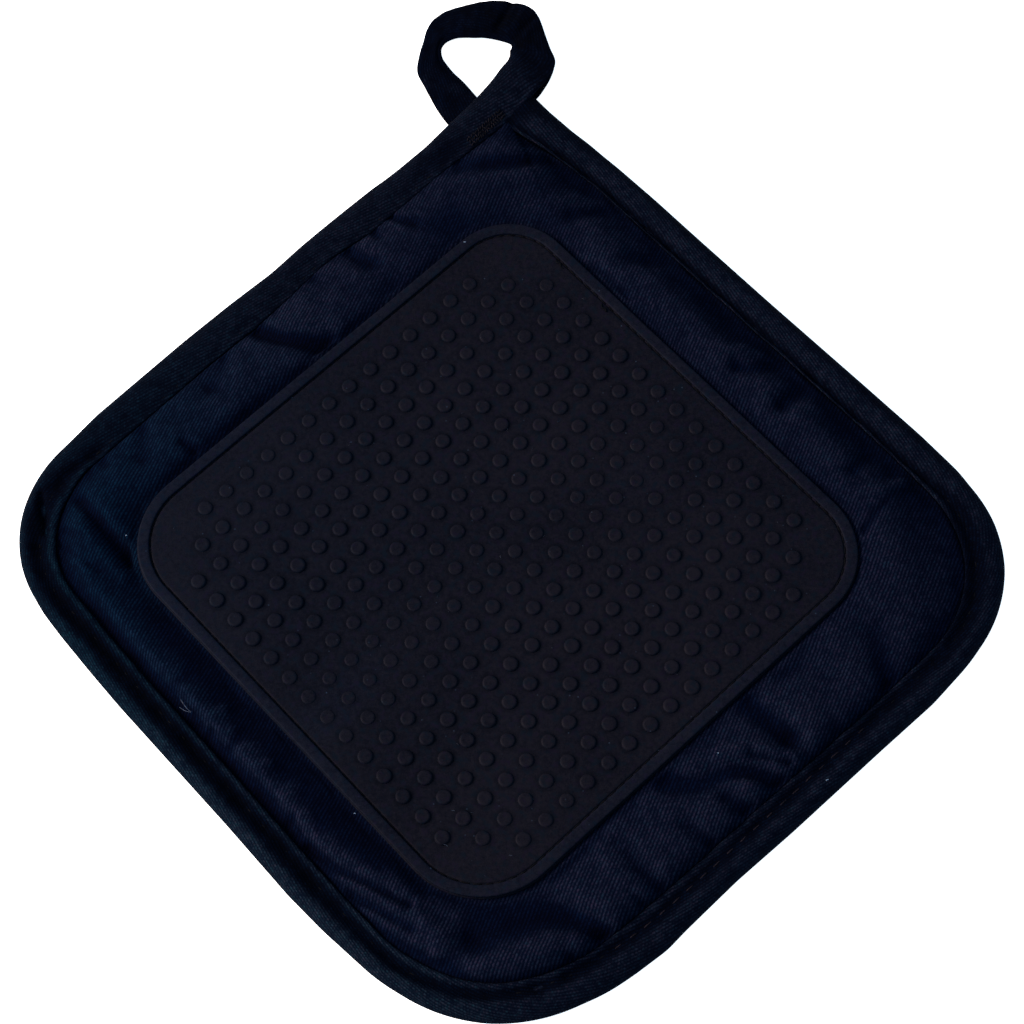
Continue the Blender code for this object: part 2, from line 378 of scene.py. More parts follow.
tapeFinish = {
    "ribSpacing": 0.74,
    "ribTurn": 77.5,  # the tape's ribs run at 12.5 degrees to its length
    "floatLength": 0.9,
    "valley": colour(0.3, 0.8, 3.0),
    "crest": colour(4.8, 7.2, 13.6),
    "rosy": colour(7.6, 6.0, 11.5),
    "mossy": colour(2.6, 9.0, 14.5),
    # painted cast of the cool light, near the left corner
    "paintedCoolCast": (0.32, 0.85, 0.9, 1.0),
    # by the relief attribute: painted shade in hollows, deeper painted shade in the deepest, painted
    # highlight on crests
    "trough": (0.06, 0.25, 0.50, 1.0),
    "deep": (0.01, 0.10, 0.26, 1.0),
    "ridge": (1.45, 1.48, 1.42, 1.0),
    # painted cast of the cool light: the tape on the bottom side is lighter and greener
    "paintedBottomCast": (1.12, 1.42, 1.2, 1.0),
    "weights": (0.6, 1.1, 0.8),
    "broken": (0.8, 0.3, 0.75, 0.35),
    "bump": 0.08,
}


def makeTwill(name, values, uvMap=None):
    finish, graph, shader = newFinish(name, {"Roughness": 0.95, "Specular IOR Level": 0.02})
    at = place(graph, values["ribTurn"], uvMap)
    across, along, _ = graph.parts(at)
    jitter = graph.noise(at, 0.7)
    phase = across / values["ribSpacing"] + graph.noise(at, 0.045, 1.0) * 1.6 + jitter * 0.45
    rib = graph.maths("SINE", phase * (2 * math.pi)) * 0.5 + 0.5
    turnOfRib = graph.maths("FLOOR", phase + 0.25)
    step = along / values["floatLength"] + turnOfRib * 0.43
    inFloat = graph.maths("SINE", graph.maths("FRACT", step) * math.pi)
    cell = graph.vector(turnOfRib, graph.maths("FLOOR", step))
    chance = graph.add("ShaderNodeTexWhiteNoise", {"noise_dimensions": "2D"}, {"Vector": cell})
    fluff = graph.noise(at, 2.2, 3.0, 0.65)
    patchy = graph.noise(at, 0.35, 2.0, 0.6)
    byChance, least, byFloat, leastFloat = values["broken"]
    yarn = rib * (chance * byChance + least) * (inFloat * byFloat + leastFloat)
    ofRibs, ofFluff, ofBlotches = values["weights"]
    lit = (yarn - 0.35) * ofRibs + (fluff - 0.5) * ofFluff + (patchy - 0.5) * ofBlotches + 0.32
    rosier = graph.within(graph.noise(at, 1.3, 1.0), 0.42, 0.62)
    mossier = graph.within(graph.noise(at, 0.9, 2.0, 0.6), 0.53, 0.68, 0.0, 0.8)
    crest = graph.blend(mossier, graph.blend(rosier, values["crest"], values["rosy"]), values["mossy"])
    dyed = graph.blend(graph.within(lit, 0.0, 1.0), values["valley"], crest)
    dyed = graph.tinted(dyed, paintedCastNearCorner(graph, values["paintedCoolCast"], 0.03, 0.13))
    # painted cast of the cool light: the tape on the bottom side is lighter and greener
    if "paintedBottomCast" in values:
        upPad = graph.vectorMaths("DOT_PRODUCT", whole(graph), (halfRoot, halfRoot, 0.0), "Value")
        byBottom = graph.within(upPad, -0.07, -0.088)
        dyed = graph.tinted(dyed, graph.blend(byBottom, plain, values["paintedBottomCast"]))
    # painted shade in the hollows and painted highlight on the crests, read from the relief attribute
    relief = graph.add("ShaderNodeAttribute", {"attribute_name": "relief"}, output="Fac")
    paintedShading = graph.blend(graph.within(relief, -0.9, 0.7), values["trough"], values["ridge"])
    paintedShading = graph.blend(graph.within(relief, -2.1, -0.9), values["deep"], paintedShading)
    endFinish(graph, shader, graph.tinted(dyed, paintedShading), yarn * 0.8 + fluff * 0.45, 0.8, values["bump"])
    return finish


siliconeFinish = {
    "dark": colour(1.25, 1.3, 3.3),
    "pale": colour(4.8, 4.05, 6.5),
    "blue": colour(1.5, 3.1, 6.1),
    "plum": colour(4.0, 2.6, 7.0),
    "dust": colour(14.0, 19.0, 30.0),
    # painted cast of the cool light, near the left corner
    "paintedCoolCastOnSilicone": (0.78, 0.96, 1.08, 1.0),
    # painted shade round the foot of each nub
    "paintedNubShadeTint": (0.64, 0.68, 0.74, 1.0),
    "onRim": (1.02, 1.2, 1.32, 1.0),
    "rimHeights": (8.78, 8.9),
    # shift that brings the nubs to the middles of the grid's cells, and the distances from a nub's middle
    # where its painted shade ends and where it is full
    "nubGrid": (-0.14, -0.14, 0.0),
    "nubShade": (3.3, 2.1),
}


def paintedNubShadeMask(graph, values):
    # painted shade round each nub's foot: 1 close to a nub and 0 from 1 mm beyond it, in the cells that have
    # a nub
    pitch, span = nubShape["pitch"], nubShape["pitch"] * (nubShape["aSide"] - 1)
    x, y, _ = graph.parts(place(graph, 45.0, shift=values["nubGrid"]))
    fromX, fromY = (graph.maths("FRACT", side / pitch) - 0.5 for side in (x, y))
    away = graph.maths("SQRT", fromX * fromX + fromY * fromY) * pitch
    wideX, wideY = (graph.maths("ABSOLUTE", side - off * pitch) for side, off in ((x, fromX), (y, fromY)))
    inside = graph.maths("LESS_THAN", graph.maths("MAXIMUM", wideX, wideY), span / 2 + 0.5)
    inside = inside * graph.maths("LESS_THAN", wideX + wideY, span - nubShape["leftOut"] * pitch)
    return graph.within(away, *values["nubShade"]) * inside


def makeSilicone(name, values, lift=0.0):
    # lift makes the nubs paler than the plate
    finish, graph, shader = newFinish(name, {"Roughness": 0.6, "Specular IOR Level": 0.025})
    at = place(graph)
    cloudy = graph.noise(at, 0.03, 2.0, 0.6)
    mottled = graph.noise(at, 0.8, 3.0, 0.7)
    grain = graph.noise(at, 2.8, 2.0, 0.6)
    tone = (mottled - 0.5) * 1.5 + (grain - 0.5) * 1.1 + (cloudy - 0.5) * 0.9 + 0.5 + lift
    base = graph.blend(graph.within(tone, 0.0, 1.0), values["dark"], values["pale"])
    bluer = graph.within(graph.noise(at, 0.45, 3.0, 0.6), 0.5, 0.68, 0.0, 0.75)
    redder = graph.within(graph.noise(at, 0.55, 3.0, 0.6), 0.52, 0.7, 0.0, 0.7)
    base = graph.blend(redder, graph.blend(bluer, base, values["blue"]), values["plum"])
    speck = graph.add("ShaderNodeTexVoronoi", {"feature": "F1"}, {"Vector": at, "Scale": 0.5}, "Distance")
    chosen = graph.add("ShaderNodeSeparateColor", None, {0: speck.other("Color")})
    dusty = graph.within(speck, 0.13, 0.03) * graph.within(chosen, 0.72, 1.0)
    base = graph.blend(dusty, base, values["dust"])
    # painted cool cast of the light near the left corner
    base = graph.tinted(base, paintedCastNearCorner(graph, values["paintedCoolCastOnSilicone"], 0.05, 0.17))
    if not lift:
        height = graph.parts(whole(graph))[2]
        low, high = values["rimHeights"]
        onRim = graph.within(height, low * mm, high * mm)
        base = graph.tinted(base, graph.blend(onRim, plain, values["onRim"]))
        # painted shade round the foot of each nub
        base = graph.tinted(base, graph.blend(paintedNubShadeMask(graph, values), plain, values["paintedNubShadeTint"]))
    endFinish(graph, shader, base, mottled * 0.6 + grain * 0.6, 0.5, 0.05)
    return finish


def makeThread(name, dark, pale, spacing=0.35):
    finish, graph, shader = newFinish(name, {"Roughness": 0.8, "Specular IOR Level": 0.05})
    ply = graph.noise(place(graph, 30.0), 1.0 / spacing, 2.0, 0.6)
    endFinish(graph, shader, graph.blend(graph.within(ply, 0.35, 0.68), dark, pale), ply, 0.7, 0.05)
    return finish


padTwill = makeTwill("padTwill", clothFinish)
tapeTwill = makeTwill("tapeTwill", tapeFinish, "tapeLine")
blackThread = makeThread("blackThread", colour(0.1, 0.2, 0.6), colour(0.8, 0.9, 2.1))
brownThread = makeThread("brownThread", colour(1.5, 1.1, 2.4), colour(8.5, 5.8, 9.4))
tackThread = makeThread("tackThread", colour(0.2, 0.2, 0.8), colour(6.5, 4.6, 7.0), 0.9)
paleFibre = makeThread("paleFibre", colour(12.0, 15.0, 26.0), colour(52.0, 60.0, 84.0))
whiteSpeck = makeThread("whiteSpeck", colour(60.0, 80.0, 120.0), colour(160.0, 190.0, 240.0))

print("stage: edge path")

edgeCorners = (
    # corner,     x,     y, radius
    ("loop", -100.6, 97.6, 8.0),
    ("right", 101.9, 102.0, 39.0),
    ("bottom", 101.2, -95.4, 49.0),
    ("left", -101.4, -94.0, 35.0),
)

# what changes along the edge, by the distance clockwise from the start of the binding near the loop, along
# the top side, round the right corner at 153-214, the bottom one at 323-400 and the left one at 519-574
edgeShape = {
    "startX": -90.0,
    "endY": 97.9,
    "bound": (0.2, 731.0),  # the binding follows the edge's own points between these distances
    "lastPoints": 10,  # and goes straight on from there to endY
    "names": ("at", "outer", "lip", "groove", "depth", "half", "rise", "roll"),
    # at, how far in the outer edge is, how far in the lip's edge is, groove's inset, depth and half width,
    # rise of the lip, rise of the outer roll
    "rows": (
        (0, 0.8, 13, 11.5, 0.5, 0.5, 0, 0), (6, 1.1, 12.2, 10.8, 0.6, 0.5, 0, 0),
        (14, 0.66, 10.6, 9.4, 0.8, 0.55, 0, 0), (20, -0.2, 9.4, 8.3, 1.2, 0.7, -0.1, 0),
        (30, -0.63, 8.3, 7.2, 1.3, 0.75, -0.5, 0), (44, -0.78, 8.4, 7.2, 1.3, 0.75, -0.5, 0),
        (60, -0.57, 8.8, 7.6, 1.3, 0.75, -0.1, 0), (86, -0.39, 9, 7.8, 1.3, 0.75, 0, 0),
        (120, -0.5, 9.3, 8.1, 1.3, 0.75, 0, 0), (140, -0.46, 9.7, 8.4, 1.3, 0.75, 0, 0),
        (152, 0.05, 10.5, 8.6, 1.2, 0.9, 0, 0), (158, 0.51, 10.6, 8, 1.1, 1.3, 0, 0),
        (170, -0.02, 10.5, 7.6, 1.1, 1.6, 0, 0), (182, -0.13, 10.1, 7.2, 1.1, 1.7, 0, 0.1),
        (194, 0.29, 9.9, 7, 1.1, 1.7, 0, 0.2), (206, 0.74, 9.5, 6.7, 1.1, 1.7, 0, 0.4),
        (212, 0.49, 9.2, 6.5, 1, 1.7, 0, 0.5), (224, -0.52, 8.9, 6.4, 1, 1.7, 0, 0.5),
        (242, -0.26, 8.8, 6.3, 1, 1.7, 0, 0.5), (272, -0.12, 9.4, 6.4, 1, 1.7, 0, 0.5),
        (290, 0.39, 9.6, 6.4, 1, 1.7, 0, 0.5), (308, 0, 9.9, 6.6, 1, 1.7, 0, 0.5),
        (314, -0.4, 10.2, 6.9, 1, 1.7, 0, 0.5), (326, 0.84, 10.9, 8.4, 1.2, 1.5, 0, 0),
        (338, 1.43, 11.1, 8.6, 1.2, 1.5, 0, 0), (350, 1.06, 10.6, 7.9, 1.2, 1.5, 0.05, 0),
        (362, 0.8, 10, 7.1, 1.4, 1.5, 0.1, 0.1), (374, 1, 9.9, 6.8, 1.4, 1.5, 0.15, 0.1),
        (386, 1.37, 9.9, 6.8, 1.4, 1.5, 0.2, 0.2), (398, 1.04, 9.3, 6.6, 1.2, 1.6, 0.25, 0.3),
        (410, -0.08, 9, 6.2, 1.1, 1.8, 0.3, 0.4), (422, -0.57, 8.9, 6.1, 1.1, 1.8, 0.3, 0.4),
        (446, -0.17, 9.2, 6.2, 1.1, 1.8, 0.3, 0.4), (488, -0.12, 9.3, 6.3, 1.1, 1.8, 0.3, 0.4),
        (500, 0.25, 9.7, 6.6, 1.1, 1.8, 0.3, 0.4), (512, 0.81, 10.2, 7, 1.2, 1.8, 0.3, 0.4),
        (524, 1.78, 10.6, 6.9, 1.5, 1.9, 0.25, 0.3), (536, 1.46, 11.1, 6.9, 1.5, 2.4, 0.2, 0.3),
        (548, 1.28, 11.6, 7.1, 1.5, 2.4, 0.1, 0.2), (560, 1.29, 11.9, 8.2, 1.3, 2.2, 0.05, 0),
        (572, 1.17, 11.3, 9.2, 0.8, 1.6, 0, 0), (584, -0.08, 11, 9.5, 0.1, 0.6, 0, 0),
        (596, -0.29, 10.8, 9.4, 0.1, 0.5, 0, 0), (614, -0.61, 10.3, 9, 0.1, 0.5, 0, 0),
        (630, -0.43, 10.6, 9.2, 0.1, 0.5, 0, 0), (644, 0.17, 10, 8.8, 0.1, 0.5, 0, 0),
        (654, -0.35, 9.1, 8, 0.1, 0.5, 0, 0), (661, -0.42, 9.3, 8.2, 0.1, 0.5, 0, 0),
        (670, -0.39, 10.5, 9.2, 0.1, 0.5, 0, 0), (680, -0.2, 10.6, 9.2, 0.1, 0.5, 0, 0),
        (690, 0.63, 10.6, 9.3, 0.1, 0.5, 0, 0), (698, 1.22, 11, 9.7, 0.1, 0.5, 0, 0),
        (706, 0.5, 11.6, 10.2, 0.1, 0.5, 0.2, 0), (716, -0.21, 12, 10.4, 0.1, 0.5, 0.35, 0),
        (724, -1.5, 11.7, 10.1, 0.1, 0.5, 0.4, 0), (731, -3.3, 10, 8.4, 0.1, 0.5, 0.4, 0),
        (741, 0.8, 13, 11.5, 0.5, 0.5, 0, 0),
    ),
}

tailLift = {"height": 2.2, "centre": (-95.0, 84.0), "full": 15.0, "end": 34.0}


def edgeValues(distance):
    # the columns of the edge's table at these distances, eased so that no row shows as a corner
    rows = np.array(edgeShape["rows"])
    fine = np.arange(0.0, rows[-1, 0] + 1)
    found = {}
    for name, column in zip(edgeShape["names"][1:], rows.T[1:]):
        line = np.interp(fine, rows[:, 0], column)
        for _ in range(3):
            line[1:-1] = (line[:-2] + 2 * line[1:-1] + line[2:]) / 4
        found[name] = np.interp(distance, fine, line)
    return found


def tableAt(rows, stops, distance, across):
    # a table's value at each distance along and across the edge
    columns = np.array([np.interp(distance, list(rows), column) for column in zip(*rows.values())])
    return np.array([np.interp(value, stops, column) for value, column in zip(across, columns.T)])


def edgeStations(arcSteps, sideSteps):
    # outer edge, inward direction and distance from the binding's start, clockwise from the loop corner's arc
    edge = outline(edgeCorners, 0.0, arcSteps, sideSteps)
    inward = outline(edgeCorners, 1.0, arcSteps, sideSteps) - edge
    length = lengthAlong(edge)
    topSide = slice(arcSteps, arcSteps + sideSteps)
    return edge, inward, length - np.interp(edgeShape["startX"], edge[topSide, 0], length[topSide])


def lengthAlong(line):
    return np.concatenate(((0.0,), np.hypot(*np.diff(line, axis=0).T).cumsum()))


def liftAt(x, y):
    # the corner below the loop is raised by the tape's tail under it
    away = np.hypot(x - tailLift["centre"][0], y - tailLift["centre"][1])
    return tailLift["height"] * smooth((tailLift["end"] - away) / (tailLift["end"] - tailLift["full"]))


def atHeight(flat, height):
    return np.column_stack((flat, np.broadcast_to(height, len(flat))))


def rumple(x, y, waves):
    # the sum of uneven fields, each with its height, wavelength and seed
    return sum(height * uneven(x, y, wavelength, seed) for height, wavelength, seed in waves)


def smoothLine(points, count):
    # a Catmull-Rom curve through the points
    points = np.array([points[0], *points, points[-1]], float)
    spans = len(points) - 3
    at = np.linspace(0, spans - 1e-6, count)
    index = at.astype(int)
    t = (at - index)[:, None]
    a, b, c, d = (points[index + k] for k in range(4))
    return 0.5 * (2 * b + (c - a) * t + (2 * a - 5 * b + 4 * c - d) * t**2 + (3 * b - a - 3 * c + d) * t**3)


def foldHeight(x, y, folds, lobe=0.12):
    # A fold is its height (a trough is negative), half width at its start and end, how much of the height is
    # left at its start and end, then x, y of each point that it runs through.
    total = np.zeros(x.shape)
    for height, startWidth, endWidth, startShare, endShare, *path in folds:
        line = smoothLine(np.reshape(path, (-1, 2)), 30)
        reach = 4 * max(startWidth, endWidth)
        low, high = line.min(0) - reach, line.max(0) + reach
        near = (x > low[0]) & (x < high[0]) & (y > low[1]) & (y < high[1])
        gaps = np.hypot(x[near][:, None] - line[:, 0], y[near][:, None] - line[:, 1])
        share = gaps.argmin(-1) / (len(line) - 1)
        q = gaps.min(-1) / (startWidth + (endWidth - startWidth) * share)
        wall = np.exp(-1.3 * q * q) - lobe * np.exp(-1.4 * (q - 1.9) ** 2)
        total[near] += height * (startShare + (endShare - startShare) * share) * wall
    return total


print("stage: pad")

patchCorners = (
    # the silicone sits a little towards the loop from the middle of its nubs
    ("loop", -70.3, 70.6, 18.0),
    ("right", 69.1, 70.6, 19.5),
    ("bottom", 69.4, -69.7, 22.5),
    ("left", -71.3, -69.6, 21.0),
)

padShape = {
    "arcSteps": 60,
    "sideSteps": 190,
    "bandRows": 56,
    "crowding": 1.2,  # the rows of the front crowd towards the lip by this power
    "deep": 9.0,  # inset of the outline that the front's start is measured from
    "underLip": 1.0,
    "seatOutset": 1.0,
    "liftEnd": (0.8, 0.2),  # the raised corner comes down from this share of the way on, over this share
    # height beside the lip by the distance from where the front starts under it
    "besideLip": ((0, 3.3), (0.6, 3.85), (1, 4.5), (1.4, 5.8), (1.8, 6.6), (2.6, 7.8), (3.5, 9), (5, 12)),
    # shares of the way from under the lip to the patch, and the filled front's height at them in tenths of a
    # mm, by the distance along the edge
    "shares": (0.0, 0.08, 0.16, 0.25, 0.35, 0.5, 0.65, 0.8, 0.92, 1.0),
    "swell": tenths({
        0: (39, 46, 56, 68, 78, 86, 89, 88, 86, 81), 24: (39, 42, 47, 58, 70, 87, 91, 89, 85, 80),
        80: (39, 41, 45, 54, 68, 89, 93, 90, 86, 81), 140: (39, 41, 46, 56, 69, 88, 92, 90, 86, 81),
        175: (39, 44, 54, 64, 73, 83, 89, 91, 88, 82), 212: (40, 50, 62, 72, 79, 86, 89, 90, 87, 83),
        235: (44, 66, 80, 86, 88, 88, 87, 85, 83, 81), 320: (44, 66, 80, 87, 89, 89, 88, 86, 83, 80),
        350: (44, 64, 79, 88, 92, 91, 86, 79, 70, 66), 385: (39, 47, 55, 72, 84, 89, 89, 84, 72, 66),
        400: (39, 46, 52, 64, 74, 83, 89, 91, 76, 66), 411: (39, 45, 50, 62, 74, 88, 91, 80, 69, 65),
        424: (39, 44, 46, 64, 93, 91, 82, 73, 67, 64), 480: (39, 43, 45, 62, 94, 91, 82, 73, 67, 64),
        515: (39, 43, 45, 64, 91, 92, 86, 76, 68, 65), 555: (39, 48, 56, 70, 82, 89, 90, 84, 76, 68),
        590: (42, 59, 67, 73, 79, 87, 92, 93, 89, 77), 640: (42, 60, 68, 74, 80, 88, 92, 93, 89, 78),
        690: (42, 59, 67, 74, 80, 87, 90, 90, 87, 80), 741: (39, 46, 56, 68, 78, 86, 89, 88, 86, 81),
    }),
    # painted shade and painted light on the front at the same shares, in tenths: 7 is palest, below -9 it
    # turns dark
    "tone": tenths({
        0: (-4, -4, -4, -4, -4, -4, -4, -3, -3, -2), 14: (-5, -6, -5, -3, -1, -1, 0, 1, 1, 1),
        24: (-6, -9, -7, -4, 0, 2, 2, 2, 1, 1), 38: (-7, -9, -5, -2, -1, 0, 0, 0, 0, -1),
        50: (-7, -9, -8, -5, -3, -2, 1, 1, -1, -4), 70: (-7, -9, -9, -7, -4, 0, 1, 1, 0, -1),
        90: (-7, -10, -9, -7, -2, 1, 2, 1, 0, -1), 125: (-7, -10, -9, -6, -2, 1, 2, 1, 0, -1),
        145: (-7, -10, -8, -5, -2, 0, 1, 0, -1, -1), 160: (-7, -10, -8, -5, -3, -2, -1, 0, 0, 0),
        182: (-5, -8, -3, 0, 0, 0, 0, 1, 1, 0), 205: (-6, -7, -2, 1, 1, 1, 1, 1, 0, 0),
        215: (-5, -8, -3, 0, 1, 1, 1, 1, 0, -1), 270: (0, 0, 2, 3, 3, 3, 2.5, 2, 0, -3),
        320: (0, 0, 2, 3, 3, 3, 2.5, 2, 0, -2), 335: (-2, -4, 1, 3, 3, 1, -1, -3, -4, -4),
        350: (-2, -4, 1, 4, 4, 2, 0, -3, -6, -7), 385: (-8, -11, -8, 1, 3, 3, 2, 1, -4, -8),
        400: (-8, -11, -7, 0, 1, 2, 2, 1, -8, -10), 411: (-6, -9, -4, 0, 2, 1, -8, -12, -13, -13),
        424: (-12, -19, -18, -3, 4, -4, -11, -13, -13, -13),
        440: (-12, -20, -20, -6, 4, -1, -8, -11, -11, -11),
        455: (-12, -19, -18, -4, 4, -1, -7.5, -10, -10, -10),
        470: (-12, -19, -19, -4, 5, 0, -6, -10, -11, -11), 485: (-9, -16, -16, 0, 6, 1, -5, -10, -11, -11),
        505: (-9, -16, -16, 0, 5, 2, -4, -9, -8, -5), 518: (-7, -10, -9, -1, 2, 2, 0, -1, 0, 0),
        545: (-7, -9, -3, -1, -1, -1, 0, 0, 0, 0), 574: (-3, -6, 1, 3, 3.5, 3.5, 3, 2.5, 1, -1),
        580: (-2, -5, 1, 3, 3, 3, 3, 1, -5, -9), 600: (-1, -4, 1, 2, 2, 2.5, 2, 1, -4, -8),
        625: (-1, -4, 0, 1, 1, 1, 1, 1, -3, -8), 640: (-1, -3, 1, 2, 2.5, 2.5, 2, 2, 0, -5),
        670: (-1, -4, -1, -1, -2, -3, -3, -3, -3, -6), 690: (-2, -4, -1, -1, -1, -2, -2, -2, -2, -3),
        708: (-4, -5, -4, -4, -4, -4, -3, -3, -3, -3), 741: (-4, -4, -4, -4, -4, -4, -4, -3, -3, -2),
    }),
    # height, wavelength, seed of what is uneven beside the folds: near the lip, fading over nearReach, on the
    # whole front, and on the back beneath the patch and round it
    "nearLip": ((0.15, 6.0, 5),),
    "nearReach": 6,
    "rumple": ((0.12, 13.0, 11), (0.16, 24.0, 23)),
    "backRumple": ((0.10, 16.0, 31), (0.12, 11.0, 31)),
    "rumpledFrom": 6,  # inset beneath the patch from which the back has it
    "rumpledTo": 0.9,  # share of the way from the binding up to which it has it round the patch
    "backFlat": (0.6, 0.4, 0.9),  # from this share on, over this one, the back comes down by this share
    # the front has no folds for the first distance from the lip, and has them in full the second distance
    # further on; they end over the last share of the way to the patch
    "foldsFrom": (0.8, 1.6),
    "foldsEnd": 0.06,
    # height over which the front and the slope beside the lip blend, and how much that lowers them
    "blended": (0.8, 0.2),
    # times that neighbours are averaged: for the swell, the tone of the folds and the tone of the whole form
    "easing": (6, 30, 60),
    # how strongly the whole form's hollows are painted darker and its crests painted lighter
    "formShade": 0.35,
    # inset, height: under the patch from its outline, then the back from the middle out to that outline, and
    # the pad's edge inside the binding from the outer edge
    "underPatch": ((0.4, 7.1), (3.0, 7.05)),
    "back": (
        (60, 0.02), (40, 0.02), (20, 0.02), (8, 0.02), (5, 0.02), (4.1, 0.12), (3.65, 0.42), (3.2, 0.12),
        (2.3, 0.02),
    ),
    "edge": ((3.25, 1.8), (2.05, 2.0), (1.75, 2.5), (2.05, 3.0), (3.25, 3.2)),
    # the back from the patch's outline to the binding: share of the way, and height by that share
    "backShares": (1.0, 0.8, 0.6, 0.45, 0.35, 0.25, 0.15, 0.08, 0.0),
    "backEdge": ((0.0, 1.8), (0.15, 0.8), (0.35, 0.2), (0.6, 0.02), (1.0, 0.02)),
    "middles": ((0, 0, 0.02), (0, 0, 7.0)),
}

